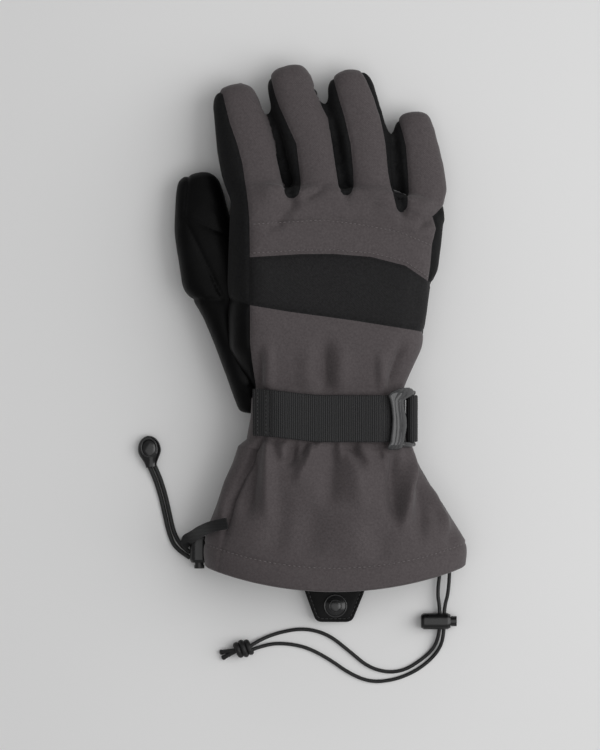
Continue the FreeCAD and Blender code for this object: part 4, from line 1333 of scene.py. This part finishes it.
KNOT_CENTRE = Vector((-41.6, -166.4, 4.9)) * MM
KNOT_TURNS = 2.6
KNOT_LENGTH = 7.6
TAIL_ENDS = ((-54.0, -168.6, 1.5), (-52.8, -171.6, 1.5))


def build_knot():
    """Both strands wound over themselves, with two short tails."""
    across = Vector((-0.98, -0.2, 0)).normalized()
    side = Vector((0.2, -0.98, 0)).normalized()
    turns = []
    for share in np.linspace(0, 1, 97):
        angle = 2 * math.pi * KNOT_TURNS * share
        swell = 1 - 0.25 * abs(2 * share - 1)
        offset = side * (3.6 * swell * math.cos(angle)) + Vector((0, 0, 2.9 * swell * math.sin(angle)))
        turns.append(KNOT_CENTRE + (across * ((share - 0.5) * KNOT_LENGTH) + offset) * MM)
    core = [KNOT_CENTRE + across * (t * 4.6 * MM) for t in np.linspace(-1, 1, 13)]
    parts = [tube_along("knot_turns", turns, lambda share: 1.6),
             tube_along("knot_core", core, lambda share: 1.1 + 2.1 * math.sin(math.pi * share))]
    start = KNOT_CENTRE + across * 3.0 * MM
    for end in TAIL_ENDS:
        tail = []
        for share in np.linspace(0, 1, 14):
            lift = Vector((0, 0, 0.8 * MM * math.sin(math.pi * share)))
            tail.append(start.lerp(Vector(end) * MM, share) + lift)
        parts.append(tube_along("knot_tail", tail, lambda share: 1.2 + 0.2 * (share > 0.88)))
    knot = joined("hem_cord_knot_tied", parts)
    dress(knot, CORD, "cord", "hem_cord_knot")
    return knot


TAPE_HALF_WIDTH, TAPE_HALF_THICKNESS = 3.1 * MM, 0.6 * MM
# the tape's section: shares of its half-width and half-thickness
TAPE_SECTION = ((1, 0.6), (0.93, 1), (-0.93, 1), (-1, 0.6), (-1, -0.6), (-0.93, -1), (0.93, -1), (1, -0.6))


def build_tape():
    """Flat woven tape from the side seam down to the lock."""
    points = centreline("leash_tape_line", LEASH_TAPE)
    rings = []
    for index, point in enumerate(points):
        side, normal = axes_along(points, index)
        for wide, thick in TAPE_SECTION:
            rings.append((point + side * TAPE_HALF_WIDTH * wide + normal * TAPE_HALF_THICKNESS * thick) / MM)
    tape = mesh_object("leash_tape_woven", rings, capped_faces(len(points), len(TAPE_SECTION)))
    dress(tape, TAPE, "webbing", "leash_tape")


PULL_NECK, PULL_HEAD = Vector((-92.0, -67.2, 3.3)), Vector((-93.8, -50.0, 3.3))
PULL_WIDEST = 0.55      # share of the pull's length


def pull_radius(share):
    grow = 2.9 + 3.4 * float(smoothstep(0.0, PULL_WIDEST, np.array(share)))
    close = math.sqrt(max(0.0, 1 - max(0.0, (share - PULL_WIDEST) / (1 - PULL_WIDEST)) ** 2))
    return max(0.15, grow * close)


def build_pull():
    """Teardrop pull moulded over the ends of both leash cords, with a rim around its face."""
    points = [PULL_NECK.lerp(PULL_HEAD, share) * MM for share in np.linspace(0, 1, 40)]
    pull = tube_along("leash_pull_moulded", points, pull_radius, sides=28)
    places = mesh_points(pull.data)
    places[:, 2] = 3.5 + (places[:, 2] - PULL_NECK.z) * 0.5
    set_mesh_points(pull.data, places)
    angle = 2 * math.pi * np.arange(48) / 48
    circle = np.column_stack([-93.3 + 4.2 * np.cos(angle), -56.4 + 4.9 * np.sin(angle), np.full(48, 6.15)])
    rim = ring_tube("pull_rim", circle, 0.55, UP)
    pull = joined("leash_pull_moulded", [pull, rim])
    dress(pull, RUBBER, "pull", "leash_pull")
    return pull


def build_cords():
    knot = build_knot()
    pull = build_pull()
    build_tape()
    round_cord("hem_cord_left", HEM_CORD_LEFT, 0.002)
    round_cord("hem_cord_right", HEM_CORD_RIGHT, 0.002)
    round_cord("leash_cord_inner", LEASH_CORD_INNER, 0.0024)
    round_cord("leash_cord_outer", LEASH_CORD_OUTER, 0.0024)


build_cords()


# ---------------------------------------------------------------- webbing
WRIST_BOX = (-36.9, 46.6, 2.4, 41.7)       # left, right, low and high of the section inside the strap
WRIST_RADIUS = 17.5
STRAP_LOW_Y, STRAP_HIGH_Y = [corner[1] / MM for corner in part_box("strap_run")]
WEBBING_THICKNESS = 1.3
KNOT_ALONG, KNOT_ACROSS = 1.8, 1.25        # spacing of the webbing's knots
PATH_STEP = 0.45        # between the points of a band's path
WIDTH_STEP = 0.31       # between the points across a band
RUN_OFFSET, TAIL_OFFSET, FOLD_OFFSET = 1.15, 2.75, 4.3      # of the strap's layers from the wrist


def wrist_path(offset):
    """Closed path (x, z) round the wrist, clockwise from the middle of its left side, evenly spaced."""
    left, right, low, high = WRIST_BOX
    radius = WRIST_RADIUS + offset
    left, right = left + WRIST_RADIUS, right - WRIST_RADIUS
    low, high = low + WRIST_RADIUS, high - WRIST_RADIUS
    corners = ((left, high, 180), (right, high, 90), (right, low, 0), (left, low, -90))
    points = []
    for x, z, start in corners:
        for turn in range(0, 91, 5):
            angle = math.radians(start - turn)
            points.append((x + radius * math.cos(angle), z + radius * math.sin(angle)))
    return resampled(np.array(points + points[:1]))


def resampled(points, step=PATH_STEP):
    """The path (x, z) with evenly spaced points."""
    arc = arc_lengths(points)
    places = np.linspace(0, arc[-1], max(3, int(arc[-1] / step)))
    return np.column_stack([np.interp(places, arc, points[:, 0]), np.interp(places, arc, points[:, 1])])


def ribbed_band(name, path, relief=0.26, skewed=False):
    """Woven band whose middle line follows path (x, z); its outer face carries the weave's knots."""
    tangent = np.gradient(path, axis=0)
    tangent /= np.linalg.norm(tangent, axis=1, keepdims=True)
    normal = np.column_stack([-tangent[:, 1], tangent[:, 0]])
    across = np.linspace(STRAP_LOW_Y, STRAP_HIGH_Y, int((STRAP_HIGH_Y - STRAP_LOW_Y) / WIDTH_STEP))
    low_across = across[::6]
    edge = np.minimum(across - STRAP_LOW_Y, STRAP_HIGH_Y - across)
    rows = []
    for (x, z), (out_x, out_z), arc in zip(path, normal, arc_lengths(path)):
        phase = math.pi * (np.round(arc / KNOT_ALONG) % 2)
        ribs = 0.5 + 0.5 * math.cos(2 * math.pi * arc / KNOT_ALONG)
        knots = ribs * (0.5 + 0.5 * np.cos(2 * math.pi * (across - STRAP_LOW_Y) / KNOT_ACROSS + phase))
        outer = WEBBING_THICKNESS / 2 + relief * knots - 0.35 * np.exp(-edge / 0.35)
        inner = np.full(len(low_across), -WEBBING_THICKNESS / 2)
        shift = strap_skew(x) if skewed else 0.0
        top = np.column_stack([x + out_x * outer, across + shift, z + out_z * outer])
        low = np.column_stack([x + out_x * inner, low_across + shift, z + out_z * inner])
        rows.append(np.vstack([top, low[::-1]]))
    band = mesh_object(name, np.vstack(rows), capped_faces(len(rows), len(rows[0])))
    face_outward(band)
    return band


def strap_skew(x):
    """The strap's free end lies a little nearer to the fingers than the rest."""
    return 3.4 * (1 - float(smoothstep(-36, 4, np.array(x))))


TILT = next(j for j in frame["joints"] if j["name"] == "buckle_tilt")
ANCHOR = (TILT["pos_m"][0] / MM, TILT["pos_m"][2] / MM)      # x, z of the buckle's anchor bar
BAR_SPACING = 9.0


def from_buckle(along, out):
    """Plan of the buckle: along towards its lever, out away from the wrist; gives x and z."""
    half = math.sqrt(0.5)
    return ANCHOR[0] - half * along + half * out, ANCHOR[1] + half * along + half * out


def upper_run(offset, end_along=14.6):
    """The part of the wrist's path from the strap's free end to the buckle."""
    path = wrist_path(offset)
    limit = from_buckle(end_along, 0)
    chosen = (path[:, 1] > 27) & (path[:, 0] > -35.6) & (path[:, 0] - path[:, 1] < limit[0] - limit[1])
    return path[chosen]


def build_strap():
    run = ribbed_band("strap_load_run", upper_run(RUN_OFFSET), skewed=True)
    dress(run, WEBBING, "webbing", "strap_run")
    tail = ribbed_band("strap_free_tail", upper_run(TAIL_OFFSET), skewed=True)
    folded_path = upper_run(FOLD_OFFSET)
    folded = ribbed_band("strap_fold", folded_path[folded_path[:, 0] < -27.6], skewed=True)
    dress(joined("strap_free_tail", [tail, folded]), WEBBING, "webbing", "strap_tail")

    ring = wrist_path(RUN_OFFSET)
    elastic = ribbed_band("wrist_elastic_band", ring[ring[:, 1] < 9], relief=0.16)
    dress(elastic, TAPE, "elastic", "wrist_elastic")

    collar = [(48.05, 8.5), (48.2, 22.0), (47.6, 27.5)]
    for angle in np.radians(np.arange(200, -71, -10)):
        collar.append((ANCHOR[0] + 2.35 * math.cos(angle), ANCHOR[1] + 2.35 * math.sin(angle)))
    anchor = ribbed_band("strap_anchor_webbing", resampled(np.array(collar)))
    dress(anchor, WEBBING, "webbing", "strap_anchor_loop")

    bight = [from_buckle(14.4, -2.3), from_buckle(10.5, -2.05)]
    for angle in np.radians(np.arange(-90, -271, -15)):
        bight.append(from_buckle(BAR_SPACING + 1.95 * math.cos(angle), 1.95 * math.sin(angle)))
    bight += [from_buckle(10.5, 1.75), from_buckle(14.4, -0.4)]
    loop = ribbed_band("strap_buckle_loop", resampled(np.array(bight)))
    dress(loop, WEBBING, "webbing", "strap_bight", body="buckle")


# ---------------------------------------------------------------- buckle
# plan outline of the buckle's lever plate: y, left edge and right edge
PLATE_EDGES = (
    (-57.0, 37.4, 42.6), (-56.0, 36.2, 44.6), (-52.1, 38.0, 45.9), (-44.5, 38.9, 47.3), (-40.1, 39.1, 47.1),
    (-34.7, 38.6, 45.9), (-30.6, 37.8, 45.5), (-29.2, 37.3, 47.6), (-27.6, 36.9, 51.0), (-25.8, 38.4, 51.3),
    (-24.2, 42.2, 50.2), (-23.5, 45.4, 48.4),
)


PLATE_GROOVES = ((0.4, 0.5), (0.63, 0.42))     # share of the plate's width, and depth
PLATE_MIDDLE_X = 43.0


def plate_ring(y, to_end, columns=40):
    """Section of the lever plate at y, whose nearer end is to_end away."""
    left, right = [table_at(PLATE_EDGES, y, k) for k in (1, 2)]
    ends = math.sqrt(max(0.02, min(1.0, (to_end + 0.15) / 3.0)))
    ring = []
    for angle in 2 * math.pi * np.arange(columns) / columns:
        share = (1 - math.cos(angle)) / 2
        x = left + (right - left) * share
        upper = math.sin(angle) > 0
        crown = (2.5 if upper else 1.1) * abs(math.sin(angle)) ** 0.6 * ends
        if upper:
            for place, depth in PLATE_GROOVES:
                crown -= depth * ends * math.exp(-(((share - place - 0.03 * math.sin(y / 5)) / 0.055) ** 2))
        base = ANCHOR[1] + (ANCHOR[0] - x) * 0.8 + 4.0 - 0.035 * (x - PLATE_MIDDLE_X) ** 2
        ring.append((x, y, base + (crown if upper else -crown)))
    return ring


def rail_radius(share):
    return 1.15 + 0.35 * math.sin(math.pi * share)


def build_buckle():
    """Moulded lever plate with an S-shaped plan and two grooves, and the bars that the webbing goes round."""
    ys = np.linspace(PLATE_EDGES[0][0], PLATE_EDGES[-1][0], 78)
    rows = [plate_ring(y, min(y - ys[0], ys[-1] - y)) for y in ys]
    plate = mesh_object("plate", np.vstack(rows), capped_faces(len(rows), len(rows[0])))
    add_modifier(plate, "SUBSURF", levels=1, render_levels=1)
    parts = [baked(plate)]
    middle_y = (STRAP_LOW_Y + STRAP_HIGH_Y) / 2
    half = (STRAP_HIGH_Y - STRAP_LOW_Y) / 2 + 2.2
    for along, radius in ((0.0, 1.3), (BAR_SPACING, 1.1)):
        x, z = from_buckle(along, 0.0)
        bar = [Vector((x, middle_y + half * t, z)) * MM for t in np.linspace(-1, 1, 25)]
        parts.append(tube_along("bar", bar, lambda share, r=radius: r, sides=16))
    for side in (-1, 1):
        rail = []
        for along in np.linspace(-1.2, 14.5, 22):
            x, z = from_buckle(along, 0.4 + 1.6 * math.sin(math.pi * min(1, max(0, along / 15))))
            rail.append(Vector((x, middle_y + side * (half - 0.9), z)) * MM)
        parts.append(tube_along("rail", rail, rail_radius, sides=14))
    buckle = joined("buckle_lever_plate", parts)
    face_outward(buckle)
    dress(buckle, GLOSS, "buckle", "buckle_frame", body="buckle")


build_strap()
build_buckle()


# ---------------------------------------------------------------- snap tab
def rounded_outline(corners, radius, steps=5):
    """Polygon with each corner rounded by a short arc."""
    outline = []
    for index, corner in enumerate(corners):
        corner = np.array(corner, float)
        before = np.array(corners[index - 1], float) - corner
        after = np.array(corners[(index + 1) % len(corners)], float) - corner
        reach = min(radius, 0.45 * np.linalg.norm(before), 0.45 * np.linalg.norm(after))
        start = corner + before / np.linalg.norm(before) * reach
        end = corner + after / np.linalg.norm(after) * reach
        for t in np.linspace(0, 1, steps):
            outline.append((1 - t) ** 2 * start + 2 * t * (1 - t) * corner + t * t * end)
    return np.array(outline)


TAB_LOW, TAB_HIGH = [np.array(corner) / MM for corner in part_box("snap_tab")]
CAP_MIDDLE = (np.array(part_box("snap_cap")[0]) + np.array(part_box("snap_cap")[1])) / 2 / MM


# the tab's edge: distance inside the outline, height over the tab's underside
TAB_PROFILE = (
    (0.5, 0.0), (0.1, 0.3), (0.0, 0.75), (0.15, 1.2), (0.6, 1.45), (1.2, 1.45), (1.7, 1.2), (2.2, 1.2),
    (2.8, 1.42), (4.6, 1.5),
)


def build_tab():
    """Leather tab with a folded edge, tapering to its end, and the ring round its snap."""
    shoulder = TAB_HIGH[1] - 12.5
    corners = [(TAB_LOW[0], TAB_HIGH[1]), (TAB_LOW[0], shoulder), (TAB_LOW[0] + 6.8, TAB_LOW[1]),
               (TAB_HIGH[0] - 7.5, TAB_LOW[1]), (TAB_HIGH[0], shoulder), (TAB_HIGH[0], TAB_HIGH[1])]
    outline = rounded_outline(corners, 3.2)
    centre = outline.mean(0)
    rings = []
    for inside, height in TAB_PROFILE:
        pull = 1 - inside / np.linalg.norm(outline - centre, axis=1, keepdims=True)
        level = np.full(len(outline), TAB_LOW[2] + height)
        rings.append(np.column_stack([centre + (outline - centre) * pull, level]))
    tab = mesh_object("snap_tab_leather", np.vstack(rings), capped_faces(len(rings), len(outline)))
    face_outward(tab)
    dress(tab, TAB_LEATHER, "palm_leather", "snap_tab", body="tab")

    angle = np.linspace(0, 2 * math.pi, 65)[:-1]
    top = np.full(64, TAB_HIGH[2] + 0.35)
    circle = np.column_stack([CAP_MIDDLE[0] + 6.0 * np.cos(angle), CAP_MIDDLE[1] + 6.0 * np.sin(angle), top])
    ring = ring_tube("snap_cap_ring", circle, 0.5, UP)
    dish = circle.copy()
    dish[:, :2] = CAP_MIDDLE[:2] + (circle[:, :2] - CAP_MIDDLE[:2]) * 0.55
    dish[:, 2] = TAB_HIGH[2] + 1.62
    bead = ring_tube("cap_bead", dish, 0.3, UP)
    dress(joined("snap_cap_ring", [ring, bead]), CAP_PAINT, "snap", body="tab")
    return outline, centre


TAB_OUTLINE, TAB_CENTRE = build_tab()


# ---------------------------------------------------------------- stitches
def stitch_row(points, normals, stitch, gap, radius):
    """Short threads laid end to end along a row of closely spaced points."""
    points = np.array(points)
    normals = np.array(normals)
    arc = arc_lengths(points)
    if arc[-1] < stitch:
        return [], []
    verts, faces = [], []
    for start in np.arange(0, arc[-1] - stitch, stitch + gap):
        places = start + np.array([0, 0.12, 0.5, 0.88, 1]) * stitch
        line = np.column_stack([np.interp(places, arc, points[:, k]) for k in range(3)])
        out = np.column_stack([np.interp(places, arc, normals[:, k]) for k in range(3)])
        out /= np.linalg.norm(out, axis=1, keepdims=True)
        along = line[-1] - line[0]
        along /= np.linalg.norm(along)
        side = np.cross(out, along)
        base = len(verts)
        for number, (size, lift) in enumerate(zip((0.35, 0.9, 1.0, 0.9, 0.35), (-0.5, 0.3, 0.55, 0.3, -0.5))):
            for step in range(6):
                angle = 2 * math.pi * step / 6
                verts.append(line[number] + radius * (lift * out[number] + size * (
                    math.cos(angle) * side[number] + math.sin(angle) * out[number])))
        for face in grid_faces(5, 6):
            faces.append(tuple(base + i for i in face))
        faces.append(tuple(base + i for i in range(6)))
        faces.append(tuple(base + 24 + i for i in reversed(range(6))))
    return verts, faces


def stitches(name, rows, material, body, slot, stitch, gap, radius):
    verts, faces = [], []
    for points, normals in rows:
        row_verts, row_faces = stitch_row(points, normals, stitch, gap, radius)
        faces += [tuple(i + len(verts) for i in face) for face in row_faces]
        verts += row_verts
    piece = mesh_object(name, verts, faces)
    face_outward(piece)
    dress(piece, material, slot, body=body)


def surface_of(*names):
    bm = bmesh.new()
    for name in names:
        bm.from_mesh(bpy.data.objects[name].data)
    tree = BVHTree.FromBMesh(bm)
    bm.free()
    return tree


def dropped(tree, plan):
    """Points of the plan dropped on a surface from above, with the surface's normals."""
    points, normals = [], []
    for x, y in plan:
        place, normal, _, _ = tree.ray_cast(Vector((x, y, 90)) * MM, Vector((0, 0, -1)))
        if place:
            points.append(np.array(place) / MM)
            normals.append(np.array(normal) * (1 if normal.z > 0 else -1))
    return points, normals


def build_stitches():
    back = surface_of("back_knuckles", "back_crest", "back_black_band", "back_wrist")
    xs = np.arange(-36.0, 63.0, 0.5)
    rows = [dropped(back, [(x, table_at(CREST_SEAM, x) - 1.9) for x in xs]),
            dropped(back, [(x, table_at(BAND_TOP_SEAM, x) + 2.1) for x in xs])]
    stitches("crest_topstitching", rows, TAUPE_THREAD, "hand", "softshell", stitch=1.5, gap=0.9, radius=0.26)

    cuff = surface_of("gauntlet_back", "gauntlet_thumb_side")
    xs = np.arange(-60.5, 78.0, 0.5)
    hem_row = dropped(cuff, [(x, hem_y(x) + STITCH_ABOVE_HEM) for x in xs])
    stitches("hem_topstitching", [hem_row], TAUPE_THREAD, "gauntlet", "softshell", stitch=1.6, gap=1.1,
             radius=0.27)

    strap = surface_of("strap_free_tail")
    row = dropped(strap, [(-28.9, y) for y in np.arange(STRAP_LOW_Y + 4.4, STRAP_HIGH_Y + 2.2, 0.4)])
    second = dropped(strap, [(-33.4, y) for y in np.arange(STRAP_LOW_Y + 4.4, STRAP_HIGH_Y + 2.6, 0.4)])
    stitches("strap_end_stitching", [row, second], BLACK_THREAD, "gauntlet", "webbing", stitch=1.6, gap=0.6,
             radius=0.24)

    line = TAB_CENTRE + (TAB_OUTLINE - TAB_CENTRE) * (
        1 - 1.95 / np.linalg.norm(TAB_OUTLINE - TAB_CENTRE, axis=1, keepdims=True))
    fine = np.vstack([line, line[:1]])
    edge = [(x, y, TAB_LOW[2] + 1.3) for x, y in fine]
    stitches("tab_stitching", [(edge, [UP] * len(edge))], BLACK_THREAD, "tab", "palm_leather", stitch=1.7,
             gap=0.7, radius=0.22)


build_stitches()


# ---------------------------------------------------------------- carried-over hardware
def dress_hardware():
    """Materials of the CAD pieces whose shapes stay."""
    looks = {"hem_lock_body": PLASTIC, "hem_lock_plunger": PLASTIC, "leash_lock_body": PLASTIC,
             "leash_lock_plunger": PLASTIC, "hem_lock_spring": STEEL, "leash_lock_spring": STEEL,
             "snap_socket": STEEL, "snap_cap": CAP_PAINT}
    for node, material in looks.items():
        for slot in frame["nodes"][node].material_slots:
            slot.material = material


dress_hardware()
